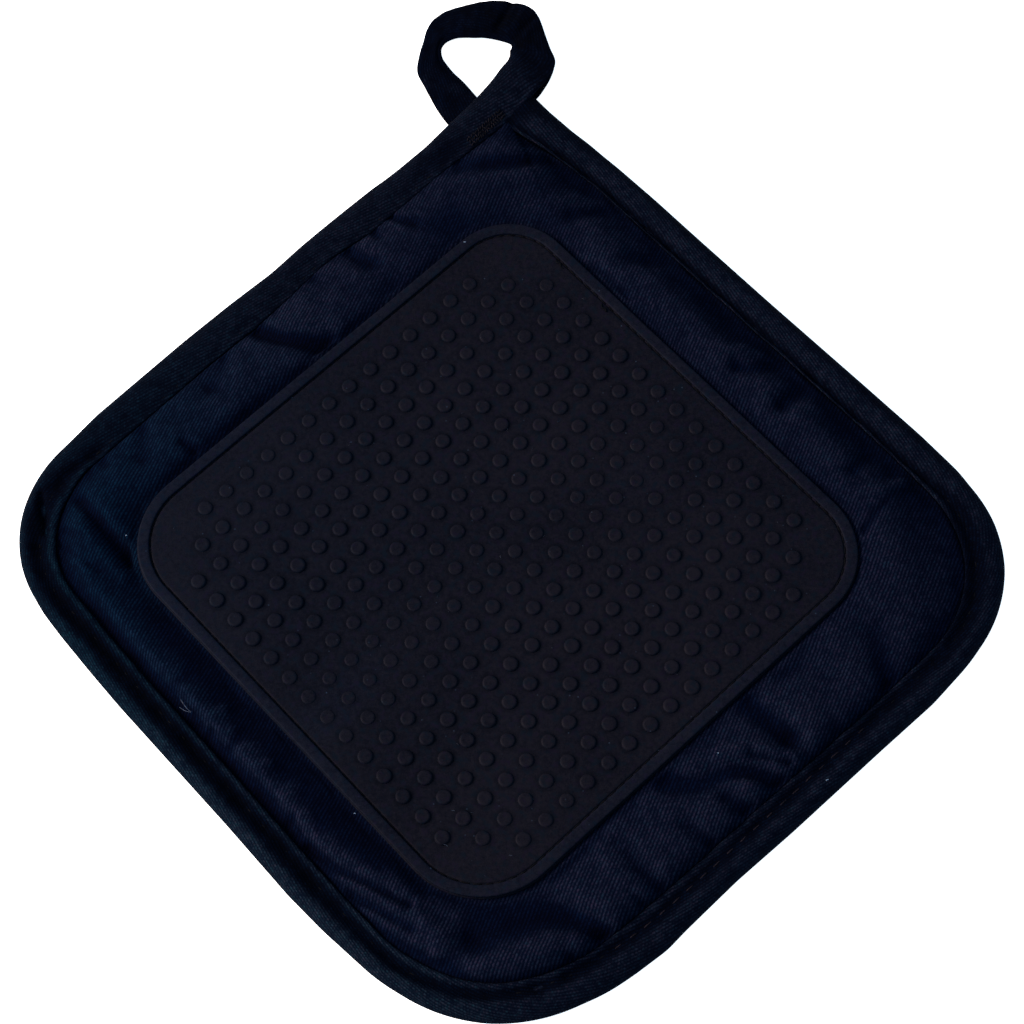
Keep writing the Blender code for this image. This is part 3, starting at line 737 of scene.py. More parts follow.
padFolds = (
    # towards the loop corner and down the left side
    (-2, 2.2, 3, 0.4, 0.6, -73, 87, -75, 82, -78.4, 77, -82.6, 72.3, -87.4, 67.8),
    (-1.2, 2.2, 2.6, 1, 0.9, -75.6, 81, -78.4, 77, -81.8, 73.2),
    (0.6, 2.4, 3.4, 0.9, 0.5, -54.5, 88, -60, 82, -66, 73), (-0.9, 3.2, 3, 0.8, 0.5, -72, 87, -67, 85.5),
    (0.3, 3, 3, 0.4, 0.9, -84, 84, -87, 78), (-1.3, 1.2, 1.6, 0.9, 0.8, -90, 45, -86, 46.3, -83, 47.6),
    (-0.5, 3, 5, 0.9, 0.6, -84, 47.5, -78.5, 51.5, -73, 57), (-1.3, 1.3, 1.2, 1, 0.5, -90, 38.6, -87.5, 38.2),
    (-2.2, 2.1, 3, 0.8, 0.9, -90, 30, -86, 30.4, -82.8, 31), (-0.8, 2.2, 2.6, 0.9, 0.5, -90, 17.5, -86.5, 17),
    (0.7, 4, 5, 0.6, 0.7, -86, 10, -80, 8, -75, 14),
    (-3, 2.2, 3.1, 0.6, 0.9, -90, -2.8, -87, -2.1, -82.5, 0, -77, 3.6, -72.5, 7),
    (-1.1, 2.2, 3.6, 0.9, 0.7, -89, -14.5, -86.5, -18, -84, -21.5),
    (-0.5, 3.4, 3.4, 0.7, 0.5, -84, -23, -79.5, -21),
    (-1.6, 2.4, 3.8, 0.8, 0.7, -89.5, -41.5, -85, -44.5, -81.5, -47.5),
    (-0.9, 1.8, 1.6, 1, 0.5, -89, -55.5, -86.5, -56), (-1.2, 1.6, 1.8, 0.7, 1, -77.5, -37.5, -73.5, -37),
    (-2.2, 1.8, 2.2, 0.75, 1, -84, -66.6, -76, -67.2, -62, -67.8),
    (0.6, 2, 2.4, 0.6, 0.6, -86, -62.5, -74, -63), (0.9, 2, 2.2, 0.5, 0.9, -82, -72, -70, -72.4, -60, -72),
    (-0.7, 0.9, 1.1, 0.8, 0.6, -80, -78.5, -72, -77, -65, -75.6),
    (-0.6, 0.9, 1, 1, 0.5, -81, -74.8, -74.5, -72.6),
    # along the top side
    (-1.2, 1.8, 2.4, 0.6, 0.8, -51.8, 86, -54, 82, -55.8, 79),
    (-1.3, 3.2, 3.4, 0.8, 0.9, -33.5, 83.8, -36, 82), (-0.5, 1.8, 2, 0.8, 0.8, -30, 87.5, -33, 84.5),
    (0.4, 3, 3, 0.5, 0.6, -52, 79, -44, 76),
    (-2, 1.8, 2.6, 0.3, 0.8, 11.8, 87.6, 10.2, 84.2, 8.4, 81.4, 5.6, 79.6),
    (0.7, 1.6, 2, 0.8, 0.8, 6.4, 87, 2.4, 84.6), (-2, 2.7, 2.9, 0.5, 1, 20.6, 88, 20.8, 84, 21.1, 80.4),
    (0.5, 2.2, 2.4, 0.7, 0.5, 26.2, 85, 25.4, 80), (-1.4, 2.4, 2.4, 0.6, 0.8, 45.5, 87, 46.2, 80.5),
    (1.2, 1.9, 3, 1, 0.4, 56.4, 87.5, 55, 82, 52, 77), (-0.8, 0.8, 1.3, 0.2, 1, 57.6, 84, 58.4, 77, 59.6, 70),
    (-0.7, 5, 6, 0.8, 0.6, 66, 86, 76, 82), (0.5, 5, 5, 0.6, 0.6, 64, 72, 74, 68),
    (-0.7, 1.4, 1.4, 0.8, 0.8, -40, 73, -29, 72.8),
    # down the right side
    (-2.4, 2.9, 4.4, 0.9, 0.5, 93.5, 46, 90, 47.8, 86, 50.2, 81, 53.5),
    (-3, 3.2, 3.4, 0.9, 0.35, 85, 19.1, 82, 18.6, 77, 17.9, 73, 17.4),
    (0.2, 2, 2, 0.6, 0.6, 84, 23, 76, 22.4), (-2.2, 1, 1.4, 0.8, 0.6, 89.5, 14.8, 86, 12.4, 82, 9.4),
    (1.1, 1.5, 2.6, 0.7, 0.9, 90, 17, 84, 12.4, 77.5, 5),
    (-2.8, 2.5, 3.4, 0.8, 0.4, 91.5, 9.6, 86.8, 7.4, 83, 3.8, 80.4, -0.6, 79, -4.8, 76, -8.4, 73, -10.6),
    (1, 1.5, 1.6, 0.9, 0.9, 89.5, 4.8, 86.5, 3.2),
    (-2.5, 3, 2.8, 0.9, 0.8, 92.6, -0.4, 88.8, -1.4, 85.4, -2.2),
    (-1.7, 2, 2.6, 1, 0.5, 92.5, -12.6, 84, -14.4),
    (-1.7, 2.3, 2.7, 0.9, 0.5, 92.5, -29.2, 85, -29.6, 76, -29.8),
    (-0.7, 0.9, 1.2, 1, 0.6, 91, -35, 86, -35.4), (-0.7, 2.4, 2.2, 0.8, 0.8, 73.5, 33.5, 72.8, 28.5),
    (-0.4, 1.2, 1.2, 0.6, 1, 71.4, -30, 71.4, -47),
    (-3.2, 2.4, 6, 1, 0.7, 92.5, -46.4, 87, -47.6, 82, -49.8, 77, -54.5, 73, -61, 68.5, -69),
    (1, 1.4, 1.6, 1, 0.8, 88, -52, 85.5, -53), (-1.1, 1.4, 1.4, 1, 0.8, 90, -57, 86.5, -57.4),
    (1.1, 2.2, 3.4, 0.7, 0.9, 86, -58, 81, -65, 75.5, -75),
    # along the bottom side
    (-0.6, 2.4, 4.2, 0.8, 0.5, 24, -80, 22.5, -77, 22, -73), (0.5, 1.8, 2, 0.8, 0.6, 12.4, -81, 11.6, -76),
    (0.8, 3, 2.2, 0.7, 0.9, 2.5, -81, 2.5, -77.5), (-1.1, 1.8, 3.4, 0.9, 0.5, -7, -81, -7, -77, -6, -73),
    (0.9, 2.4, 1.9, 0.7, 0.9, -15.5, -81, -15.5, -76.5), (-0.8, 2.4, 4, 0.9, 0.5, -29, -80.5, -28, -74),
    (0.4, 1.6, 2.2, 0.9, 0.6, -36, -81.5, -48, -81.2, -60, -80.6),
    (-1, 1.1, 1.1, 0.8, 1, 16.6, -84.4, 16.6, -82), (-0.8, 1, 1, 0.8, 1, -13.6, -84.6, -14, -82.2),
    (-1.6, 1.1, 1.1, 0.9, 0.7, 24, -84, 35, -82, 45, -78.6, 52.5, -76),
    (0.7, 1, 1.2, 0.8, 0.7, 35, -84.4, 44, -81.2, 52, -78.8),
    (-1, 1.1, 1.5, 0.9, 0.9, 40, -84.4, 49, -81.8, 57, -79.6),
    (0.6, 1.2, 1.6, 0.7, 0.7, 46, -84.6, 56, -82.6, 64, -80),
    (0.6, 1.8, 2, 0.8, 0.6, 55, -76, 62, -76, 66, -78.5),
    (-1.2, 2.2, 3.6, 0.6, 0.8, 68, -78.5, 69, -75, 69.5, -71.5),
    (-0.6, 3, 2.6, 0.7, 0.9, 72, -70.5, 60, -72.5), (0.7, 2.4, 2.6, 0.8, 0.7, 84, -70, 80, -77),
)

# painted shade and painted light on places of the front that aren't folds, as the folds' list: only their
# tone changes
padShades = (
    (-0.35, 4.5, 6, 1, 1, -83, 46, -76, 52), (0.35, 4.5, 5, 1, 0.6, -85, 4, -80, 18),
    (0.4, 4, 5, 0.8, 1, -72, 78, -67, 71), (0.2, 3, 3, 1, 1, -85, 57, -80, 52),
    (-1.3, 2.6, 5.6, 0.8, 1, 80, -51, 75.5, -57, 70.5, -66),
    (0.45, 2.6, 3.4, 0.7, 1, 85, -60, 80, -68, 75, -74), (0.2, 2.2, 2.2, 1, 1, 60, -77, 54, -76),
    (-0.3, 4, 5, 0.8, 1, 74, -80, 74, -70), (-0.2, 3, 3, 1, 1, 74, 31, 72, 31),
    (-1.5, 2.6, 3, 1, 1, -88, -2.4, -82.5, 0, -77, 3.6, -73.5, 6.5), (-0.4, 3, 4, 1, 0.7, 91, 46.6, 86, 50),
    (-0.9, 2.6, 3.2, 0.9, 1.1, 85.5, 19.1, 71, 17.3),
    (-0.9, 2, 3.2, 0.6, 1.1, 87, 7, 81.5, 1, 79, -5, 71, -11.4), (-0.35, 4, 4, 1, 0.8, -88, 79, -83, 76),
    (-0.5, 2.2, 2.6, 1, 0.6, 91, -46.6, 83, -49),
    # painted light and shade of the roll's scallops along the bottom side
    (0.55, 2.4, 2, 0.7, 0.8, 11, -80, 11, -77.2), (0.55, 3.2, 2.4, 0.7, 0.9, -3, -80, -2.5, -77.6),
    (0.6, 3, 2.4, 0.7, 0.9, -16, -80, -16, -77.4), (-0.5, 2.4, 3.4, 0.8, 0.7, 22.5, -79.6, 22, -77),
    (-0.35, 1.4, 2.4, 0.8, 0.8, 4.8, -79, 4.8, -76.6), (-0.7, 1.6, 3, 0.8, 0.8, -8, -80.4, -8, -77),
    (-0.6, 2.2, 3.6, 0.8, 0.7, -28.5, -80.4, -28, -76),
    (0.4, 1.3, 1.5, 0.9, 0.9, 53, -74.6, 36, -79, 22, -82),
)


def softened(values, times):
    # neighbours averaged round the ring and across the band
    for _ in range(times):
        values = (np.roll(values, 1, 1) + np.roll(values, -1, 1) + 2 * values) / 4
        padded = np.vstack((values[:1], values, values[-1:]))
        values = (padded[:-2] + padded[2:] + 2 * values) / 4
    return values


def crownHeight(body, far, shape):
    # the filled front's height before its folds, drawn in beside the lip
    over, lowered = shape["blended"]
    lip = np.interp(far, *zip(*shape["besideLip"]))
    gap = np.clip((lip - body) / over, -1, 1)
    return np.where(gap < 0, lip, body) - lowered * (1 - np.abs(gap)) ** 2


def backSoft(points, height, wavelength, seed):
    return height * np.maximum(1 + uneven(*points.T, wavelength, seed), 0)


def makePad(shape):
    steps = (shape["arcSteps"], shape["sideSteps"])
    edge, inward, length = edgeStations(*steps)
    length %= edgeShape["rows"][-1][0]
    values = edgeValues(length)
    deep, deeper = (outline(edgeCorners, shape["deep"] + more, *steps) for more in (0, 1))
    shoulder = deep + (deeper - deep) * (values["lip"] - shape["underLip"] - shape["deep"])[:, None]
    seat = outline(patchCorners, -shape["seatOutset"], *steps)
    share = (np.linspace(0, 1, shape["bandRows"]) ** shape["crowding"])[:, None]
    flat = shoulder[None] + (seat - shoulder)[None] * share[..., None]
    x, y = flat[..., 0], flat[..., 1]
    far = share * np.hypot(*(seat - shoulder).T)
    change = foldHeight(x, y, padFolds)
    nearLip = rumple(x, y, shape["nearLip"]) * np.exp(-far / shape["nearReach"])
    change += nearLip + rumple(x, y, shape["rumple"])
    none, full = shape["foldsFrom"]
    change *= smooth((far - none) / full) * smooth((1 - share) / shape["foldsEnd"])
    shares = share.T.repeat(len(length), 0)
    swell, tone = (tableAt(shape[table], shape["shares"], length, shares).T for table in ("swell", "tone"))
    ofSwell, ofFolds, ofForm = shape["easing"]
    crown = crownHeight(softened(swell, ofSwell), far, shape)
    since, over = shape["liftEnd"]
    form = crown + change + liftAt(x, y) * (1 - smooth((share - since) / over))
    rows = []
    for inset, height in shape["back"]:
        points = outline(patchCorners, inset, *steps)
        soft = backSoft(points, *shape["backRumple"][0]) * (inset > shape["rumpledFrom"])
        rows.append(atHeight(points, height + soft))
    for at in shape["backShares"]:
        points = shoulder + (seat - shoulder) * at
        soft = backSoft(points, *shape["backRumple"][1]) * (at < shape["rumpledTo"])
        since, over, flatter = shape["backFlat"]
        height = np.interp(at, *zip(*shape["backEdge"])) + soft
        height *= 1 - smooth((at - since) / over) * flatter
        rows.append(atHeight(points, height + liftAt(*points.T)))
    for inset, height in shape["edge"]:
        points = outline(edgeCorners, inset, *steps) + inward * values["outer"][:, None]
        rows.append(atHeight(points, height + liftAt(*points.T)))
    hidden = [atHeight(outline(patchCorners, inset, *steps), height) for inset, height in shape["underPatch"]]
    grid = np.concatenate((np.array(rows), np.stack((x, y, form), -1), hidden))
    paintedShading = np.zeros(grid.shape[:2])
    # painted shade and light: the tone table, the shaded places, and darker hollows and lighter crests of the
    # folds and whole form
    tone += foldHeight(x, y, padShades, 0)
    tone += change - softened(change, ofFolds) + shape["formShade"] * (form - softened(form, ofForm))
    paintedShading[len(rows) : len(rows) + len(form)] = tone
    return gridMesh("padCloth", grid, shape["middles"], tone=paintedShading)


padCloth = makePad(padShape)
finishPiece(padCloth, padTwill)
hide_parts("pad")

print("stage: binding and loop")

bindingShape = {
    "arcSteps": 52,
    "sideSteps": 150,
    "wide": 9.5,
    # the folded tape's outside, from the lip's edge on the front round to its edge on the back: inset in a
    # binding of that width, height
    "outside": (
        (9.42, 4.75), (9.5, 5.0), (9.42, 5.25), (9.2, 5.42), (8.9, 5.52), (8.5, 5.58), (8.1, 5.62),
        (7.7, 5.66), (7.3, 5.7), (6.9, 5.74), (6.5, 5.78), (6.1, 5.82), (5.6, 5.85), (5.1, 5.87), (4.5, 5.86),
        (3.9, 5.8), (3.3, 5.68), (2.7, 5.5), (2.15, 5.25), (1.6, 4.92), (1.1, 4.5), (0.7, 4.05), (0.35, 3.55),
        (0.1, 3.0), (0.0, 2.5), (0.08, 2.0), (0.3, 1.4), (0.7, 0.8), (1.3, 0.35), (2.2, 0.06), (3.2, 0.02),
        (5.0, 0.02), (6.9, 0.02), (7.3, 0.1), (7.6, 0.36), (7.9, 0.1), (8.4, 0.02), (9.0, 0.08), (9.3, 0.4),
    ),
    "inside": (
        (9.2, 0.9), (8.6, 1.05), (6.0, 1.1), (3.0, 1.1), (2.0, 1.25), (1.4, 1.8), (1.3, 2.8), (1.4, 3.4),
        (2.0, 3.9), (3.0, 4.1), (6.0, 4.15), (8.0, 4.15), (9.0, 4.3),
    ),
    # The relief comes in over reliefRise above reliefFrom. The front's rows start at frontFrom, those of the
    # inside that follow it at innerFrom, and layer is how far they stay below it.
    "reliefFrom": 3.2,
    "reliefRise": 1.8,
    "frontFrom": 3.3,
    "innerFrom": 3.5,
    "layer": 0.35,
    # share of the relief's height that is painted as shade in its hollows and light on its crests
    "reliefShade": 0.3,
    # distance from the edge that each roll is named for, and half width
    "lipRoll": (0.9, 0.8),
    "outerRoll": (2.2, 1.5),
    # height, wavelength, seed
    "rumple": ((0.06, 4.0, 41), (0.11, 12.0, 43)),
    "grooveDepth": ((0.16, 9.0, 8),),
    "groovePlace": ((0.1, 19.0, 3),),
    # as those of the pad
    "folds": (
        (-1.2, 1, 1, 0.8, 1, -84, -78.6, -88.5, -76, -93.5, -72.6),
        (-0.8, 1, 1.4, 0.6, 1, -97.5, -76, -92.5, -71),
        (-0.5, 2.2, 2.2, 0.7, 0.7, -96.5, 9, -95, 18, -96, 27),
        (-0.35, 2.6, 3, 0.6, 0.9, -95, 56, -94, 63, -93.5, 69),
        (0.6, 1.5, 1.5, 0.7, 0.5, -91.2, -84.5, -92.8, -78), (-0.35, 1.5, 2.2, 0.8, 0.8, -101, 48, -92, 41),
        (-0.25, 2, 2, 0.8, 0.8, -101, 20, -92, 16), (-0.3, 1.5, 1.5, 0.8, 0.8, 101, 6, 93, 9),
        (-0.3, 1.8, 2, 0.8, 0.8, 101, -38, 93, -43), (-0.2, 2.4, 3.2, 0.8, 0.8, -91, 66, -97, 73),
    ),
}

# painted shade and painted light on the binding, in tenths as for the pad, by the distance along the edge, at
# these distances inward from its groove
bindingTone = {
    "from": (-6.5, -4.5, -2.5, -1.5, -0.7, 0.0, 0.5, 0.9, 1.6, 2.2, 2.8),
    "rows": tenths({
        # painted shadow at the start of the top tape, where the binding's end lies over it
        0: (-11, -11, -11, -11, -11, -11, -11, -11, -11, -11, -11),
        2: (-9, -8, -8, -8, -9, -12, -9, -7, -7, -7, -8), 6: (-4, 1, 3, 2, -3, -10, -2, 7, 7, 5, 0),
        20: (-4, 3, 5, 3, -2, -10, -2, 7, 6, 4, 0), 60: (-5, 3, 5, 3, -2, -10, -3, 7, 5, 3, 0),
        140: (-5, 5, 5, 2, -3, -10, -3, 6, 4, 3, 0), 156: (-2, 4, 2, -3, -7, -9, -8, -4, 2, 4, 1),
        170: (0, 3, -2, -9, -10, -11, -11, -11, -9, -8, -6),
        206: (0, 2, -1, -8, -10, -10, -10, -10, -8, -6, -4), 224: (0, 1, 1, -4, -8, -9, -9, -7, 1, 5, 2),
        316: (0, 1, 1, -4, -8, -9, -9, -7, 1, 5, 2), 350: (0, 3, 2, -3, -9, -10, -9, -6, 4, 5, 1),
        398: (1, 4, 2, -3, -9, -10, -10, -8, 3, 5, 2), 424: (3, 4, -7, -13, -15, -16, -16, -12, -1, 1, 0),
        505: (3, 3, -7, -13, -15, -16, -16, -12, -1, 1, 0), 530: (0, -2, -6, -9, -10, -10, -10, -9, -5, 1, 3),
        552: (0, -3, -7, -9, -10, -10, -10, -9, -5, 0, 3), 570: (-1, -1, -3, -4, -6, -6, -4, 0, 1, 2, 2),
        590: (-2, -1, -1, -1, -1, -1, 1, 2, 2, 1, 0), 680: (-2, -1, -1, -1, -1, -1, 0, 1, 1, 0, 0),
        700: (-2, -5, -8, -7, -5, -3, -1, 0, 0, 0, 0), 712: (-2, -1, 0, 0, 0, 0, 0, 1, 1, 0, 0),
        742: (-3, -3, -3, -3, -3, -3, -3, -3, -3, -3, -3),
    }),
}


def onSide(corner, part, wanted):
    # where the side from the loop's corner to this one has that x, part 0, or that y, part 1
    start, end = (np.array(row[1:3]) for row in (edgeCorners[0], corner))
    share = (wanted - start[part]) / (end[part] - start[part])
    return start + (end - start) * share


def bindingStations(shape):
    edge, inward, length = edgeStations(shape["arcSteps"], shape["sideSteps"])
    start, end = edgeShape["bound"]
    keep = (length > start) & (length < end)
    first = onSide(edgeCorners[1], 0, edgeShape["startX"])
    last = onSide(edgeCorners[3], 1, edgeShape["endY"])
    lastSide = np.linspace(edge[keep][-1], last, edgeShape["lastPoints"])[1:]
    edge = np.vstack((first, edge[keep], lastSide))
    inward = inward[keep]
    inward = np.vstack((inward[:1], inward, np.repeat(inward[-1:], len(lastSide), 0)))
    return edge, inward, lengthAlong(edge)


def realInset(inset, values):
    return values["outer"] + inset / bindingShape["wide"] * (values["lip"] - values["outer"])


def bindingRelief(inset, length, x, y, values):
    # what groove, lip and folds add to the front of the binding, by its real inset
    depth = values["depth"] * (1 + rumple(length, 0 * length, bindingShape["grooveDepth"]))
    middle = values["groove"] + rumple(length, 0 * length, bindingShape["groovePlace"])
    groove = -depth * bell(inset - middle, values["half"])
    away, half = bindingShape["lipRoll"]
    lip = values["rise"] * bell(inset - values["lip"] + away, half)
    away, half = bindingShape["outerRoll"]
    outer = values["roll"] * bell(inset - values["outer"] - away, half)
    folded = foldHeight(x, y, bindingShape["folds"])
    return groove + lip + outer + folded + rumple(x, y, bindingShape["rumple"])


def ofFront(height):
    # 1 on the front of the tape and 0 from its outer edge down
    return smooth((height - bindingShape["reliefFrom"]) / bindingShape["reliefRise"])


def bindingTop(inset, length, x, y, values):
    # height of the binding's front at this nominal inset
    base = np.interp(inset, *zip(*sorted(bindingShape["outside"][1:24])))
    return base + bindingRelief(realInset(inset, values), length, x, y, values) * ofFront(base)


def makeBinding(shape):
    edge, inward, length = bindingStations(shape)
    values = edgeValues(length)
    rows, tone = [], []
    for index, (inset, height) in enumerate(shape["outside"] + shape["inside"]):
        outside = index < len(shape["outside"])
        real = realInset(inset, values)
        flat = edge + inward * real[:, None]
        z = np.full(len(edge), height)
        shade = np.zeros(len(edge))
        if outside and height > shape["frontFrom"]:
            relief = bindingRelief(real, length, *flat.T, values)
            z += relief * ofFront(height)
            # painted shade and light from the relief and the tone table
            shade = shape["reliefShade"] * relief
            shade += tableAt(bindingTone["rows"], bindingTone["from"], length, real - values["groove"])
        if not outside and height > shape["innerFrom"]:
            z = np.minimum(z, bindingTop(inset, length, *flat.T, values) - shape["layer"])
        rows.append(atHeight(flat, z + liftAt(*flat.T)))
        tone.append(shade)
    section = np.array([*shape["outside"], *shape["inside"], shape["outside"][0]])
    across = shape["wide"] - lengthAlong(section)
    grid = np.array(rows)
    return gridMesh("bindingTape", grid, tape=(length, across), tone=np.array(tone)), grid, length, across


bindingTape, bindingGrid, bindingLength, tapeAcross = makeBinding(bindingShape)
finishPiece(bindingTape, tapeTwill)
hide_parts("binding")

loopShape = {
    "steps": 8,
    "layer": 0.08,
    # shares of its width over which its two edges are round, and how thin they are there
    "innerRound": (0.16, 0.05),
    "outerRound": (0.14, 0.3),
    # lengths over which it leaves the binding's section, and over which its relief comes in
    "join": 7.0,
    "fade": 8.0,
    # share of the width and half width, depth, length over which it comes in, and from where it goes again
    "seam": (0.18, 0.05, 0.5, 14, 50),
    # inner edge x, y, z, outer edge x, y, z, thickness: from the binding's end over and back under the pad
    "rows": (
        (-104, 98, 5.3, -91.2, 98.1, 5.3, 4), (-104.7, 99.8, 5.5, -90.9, 100.9, 5.4, 3.2),
        (-105.1, 101.2, 5.6, -91.7, 104.7, 5.4, 2.7), (-105.4, 102.3, 5.6, -94, 108.2, 5.3, 2.4),
        (-105.8, 103, 5.6, -98.2, 110.1, 5.2, 2.3), (-106.4, 103.3, 5.5, -101.6, 111.8, 5, 2.3),
        (-107.3, 103.15, 5.4, -105.3, 113.7, 4.8, 2.3), (-108.7, 102.6, 5.2, -109, 115.1, 4.7, 2.3),
        (-110.3, 101.85, 5, -112.8, 114.7, 4.6, 2.3), (-112, 100.9, 4.8, -116.8, 112.6, 4.5, 2.2),
        (-113.7, 99.7, 4.7, -121, 108.9, 4.3, 2.2), (-115.4, 98.1, 4.5, -124.1, 104, 4.1, 2.2),
        (-117.5, 96.3, 4.2, -127, 98.9, 3.7, 2.2), (-119.2, 94.4, 3.9, -127.8, 95, 3.3, 2.2),
        (-120.2, 91.9, 3.5, -127, 91.2, 3, 2.1), (-119.8, 89.8, 3.1, -124.8, 87.6, 2.6, 2),
        (-118, 88.4, 2.5, -122.5, 83.8, 2.1, 1.9), (-115.8, 88, 1.9, -119.4, 80.4, 1.6, 1.9),
        (-112.8, 87.8, 1.3, -115, 79, 1.2, 1.8), (-108.6, 87.9, 0.95, -107.6, 76.8, 0.95, 1.8),
        (-101, 87.2, 0.95, -101, 75.8, 0.95, 1.8), (-89, 86.5, 0.95, -89, 75.4, 0.95, 1.8),
    ),
    # height, wavelength, seed
    "rumple": ((0.06, 4.0, 51), (0.12, 11.0, 53)),
    # painted shade and light, uneven over the loop's face
    "shade": ((0.22, 8.0, 57),),
    # painted shade: the tail is darker than the binding, as a tone by the distance along it
    "tone": ((0, -0.3), (5, -0.7), (11, -1.45), (28, -1.5), (38, -1.0), (60, -0.7), (95, -0.7)),
    # as those of the pad
    "folds": (
        (-0.9, 0.9, 1.2, 0.7, 1, -116.5, 113.5, -113, 104), (0.4, 1.2, 1.2, 0.8, 0.8, -112, 113.5, -109, 104),
        (-0.6, 0.9, 1.2, 0.9, 0.7, -108.5, 114.5, -106.8, 105),
        (0.3, 1.6, 1.6, 0.8, 0.8, -122, 105, -116, 99),
        (-0.4, 1.2, 1.2, 0.9, 0.7, -124.5, 93.5, -120.5, 95.5),
    ),
}


def makeLoop(shape, firstRing):
    section = np.array(bindingShape["outside"] + bindingShape["inside"])
    outside = len(bindingShape["outside"])
    lines = smoothLine(shape["rows"], shape["steps"] * (len(shape["rows"]) - 1) + 1)
    across = np.clip(section[:, 0] / bindingShape["wide"], 0, 1)
    # how high each point of the section lies in the flat loop: 1 on its face, -1 on its back
    level = np.clip((section[:, 1] - 2.7) / 2.4, -1, 1)
    level[outside:] = np.sign(level[outside:]) * shape["layer"]
    # it is round at the inner edge, a fold, and at the outer one, where its two layers are sewn together
    (innerRound, least), (outerRound, thinner) = shape["innerRound"], shape["outerRound"]
    swell = np.sqrt(np.clip(1 - (1 - np.minimum(across / innerRound, 1)) ** 2, 0, 1))
    swell = np.maximum(swell, least) * (1 - thinner * smooth((across - 1 + outerRound) / outerRound))
    rings, along = [], [0.0]
    befores, afters = np.vstack((lines[:1], lines[:-1])), np.vstack((lines[1:], lines[-1:]))
    for before, row, after in zip(befores, lines, afters):
        inner, outer, thickness = row[:3], row[3:6], row[6]
        width = np.linalg.norm(outer - inner)
        side = (outer - inner) / width
        forward = after[:6] - before[:6]
        up = np.cross(side, forward[:3] + forward[3:])
        up *= np.sign(up[2] or 1) / np.linalg.norm(up)
        rings.append(inner + np.outer(across * width, side) + np.outer(level * swell * thickness / 2, up))
        along.append(along[-1] + np.linalg.norm((inner + outer - before[:3] - before[3:6]) / 2))
    rings, along = np.array(rings), np.array(along[1:])
    share = 1 - smooth(along / shape["join"])[:, None, None]
    start = firstRing[None] + (rings - rings[:1]).mean(1)[:, None]
    grid = (start * share + rings * (1 - share)).transpose(1, 0, 2)
    x, y = grid[..., 0], grid[..., 1]
    face = smooth((section[:, 1] - bindingShape["frontFrom"]) / 1.0)
    face[outside:] = 0
    fade = smooth(along / shape["fade"])[None] * face[:, None]
    middle, half, depth, over, until = shape["seam"]
    seam = -depth * bell(across[:, None] - middle, half) * smooth(along / over)
    seam *= 1 - smooth((along - until) / over)
    creased = foldHeight(x, y, shape["folds"]) + seam
    # painted shade and light: the darker tail, and its creases, seam and uneven patches
    tone = np.interp(along, *zip(*shape["tone"]))[None] + fade * (creased + rumple(x, y, shape["shade"]))
    grid[..., 2] += fade * (creased + rumple(x, y, shape["rumple"]))
    return gridMesh("loopTape", grid, tape=(along + bindingLength[-1], tapeAcross), tone=tone)


loopTape = makeLoop(loopShape, bindingGrid[:, -1])
finishPiece(loopTape, tapeTwill)
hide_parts("hanging_loop")

print("stage: silicone patch")

patchShape = {
    "arcSteps": 26,
    "sideSteps": 60,
    # inset, height: from the middle of the back out to the foot, up the side, over the rim, down into the
    # stitched groove and up to the field
    "section": (
        (12.0, 7.3), (0.5, 7.3), (0.1, 7.34), (0.0, 7.5), (0.02, 7.75), (0.25, 7.9), (0.42, 8.0), (0.42, 8.1),
        (0.3, 8.25), (0.22, 8.45), (0.22, 8.7), (0.27, 8.86), (0.38, 8.97), (0.55, 9.03), (0.8, 9.05),
        (2.0, 9.06), (2.8, 9.05), (3.05, 9.0), (3.16, 8.9), (3.2, 8.7), (3.23, 8.5), (3.32, 8.36),
        (3.45, 8.34), (3.6, 8.38), (3.7, 8.48), (3.8, 8.56), (4.0, 8.6), (4.5, 8.6), (8.0, 8.6), (16.0, 8.6),
        (30.0, 8.6),
    ),
    "innerRings": (0.75, 0.5, 0.25),
    "warp": ((0.10, 55.0, 61),),
    "seamInset": 3.42,
    "seamHeight": 8.38,
    "seamSteps": (12, 30),
}

nubShape = {
    "pitch": 7.0,
    "aSide": 18,
    "leftOut": 1.5,
    # radius, height
    "profile": ((2.04, 8.5), (1.96, 8.63), (1.86, 8.8), (1.74, 8.93), (1.55, 9.0), (1.2, 9.02), (0.7, 9.0)),
    "sides": 16,
    "shiftRight": 0.2,
    "shift": 0.12,
}


def patchWarp(x, y):
    return rumple(x, y, patchShape["warp"])


def makePatch(shape):
    steps = (shape["arcSteps"], shape["sideSteps"])
    rows = [atHeight(outline(patchCorners, inset, *steps), height) for inset, height in shape["section"]]
    rows += [rows[-1] * (share, share, 1.0) for share in shape["innerRings"]]
    grid = np.array(rows)
    low, high = grid[0, 0, 2], grid[-1, 0, 2]
    grid[..., 2] += patchWarp(grid[..., 0], grid[..., 1]) * smooth((grid[..., 2] - low) / 1.0)
    middle = high + float(patchWarp(np.zeros(1), np.zeros(1))[0])
    return gridMesh("patchPlate", grid, ((0, 0, low), (0, 0, middle)))


def tubeFaces(rings, sides):
    # from each ring to the next one
    starts = [(row * sides, step, (step + 1) % sides) for row in range(rings - 1) for step in range(sides)]
    return [(low + step, low + after, low + sides + after, low + sides + step) for low, step, after in starts]


def turnedShape(name, profile, sides):
    # a small turned shape, closed at its ends, to be copied many times: profile is radius, height
    turns = [2 * math.pi * step / sides for step in range(sides)]
    turns = [(math.cos(turn), math.sin(turn)) for turn in turns]
    points = [(radius * x, radius * y, height) for radius, height in profile for x, y in turns]
    last = (len(profile) - 1) * sides
    faces = [*tubeFaces(len(profile), sides), [*range(last, last + sides)], [*range(sides)][::-1]]
    piece = meshObject(name, points, faces=faces, convert=toMetres)
    piece.data.shade_smooth()
    return piece


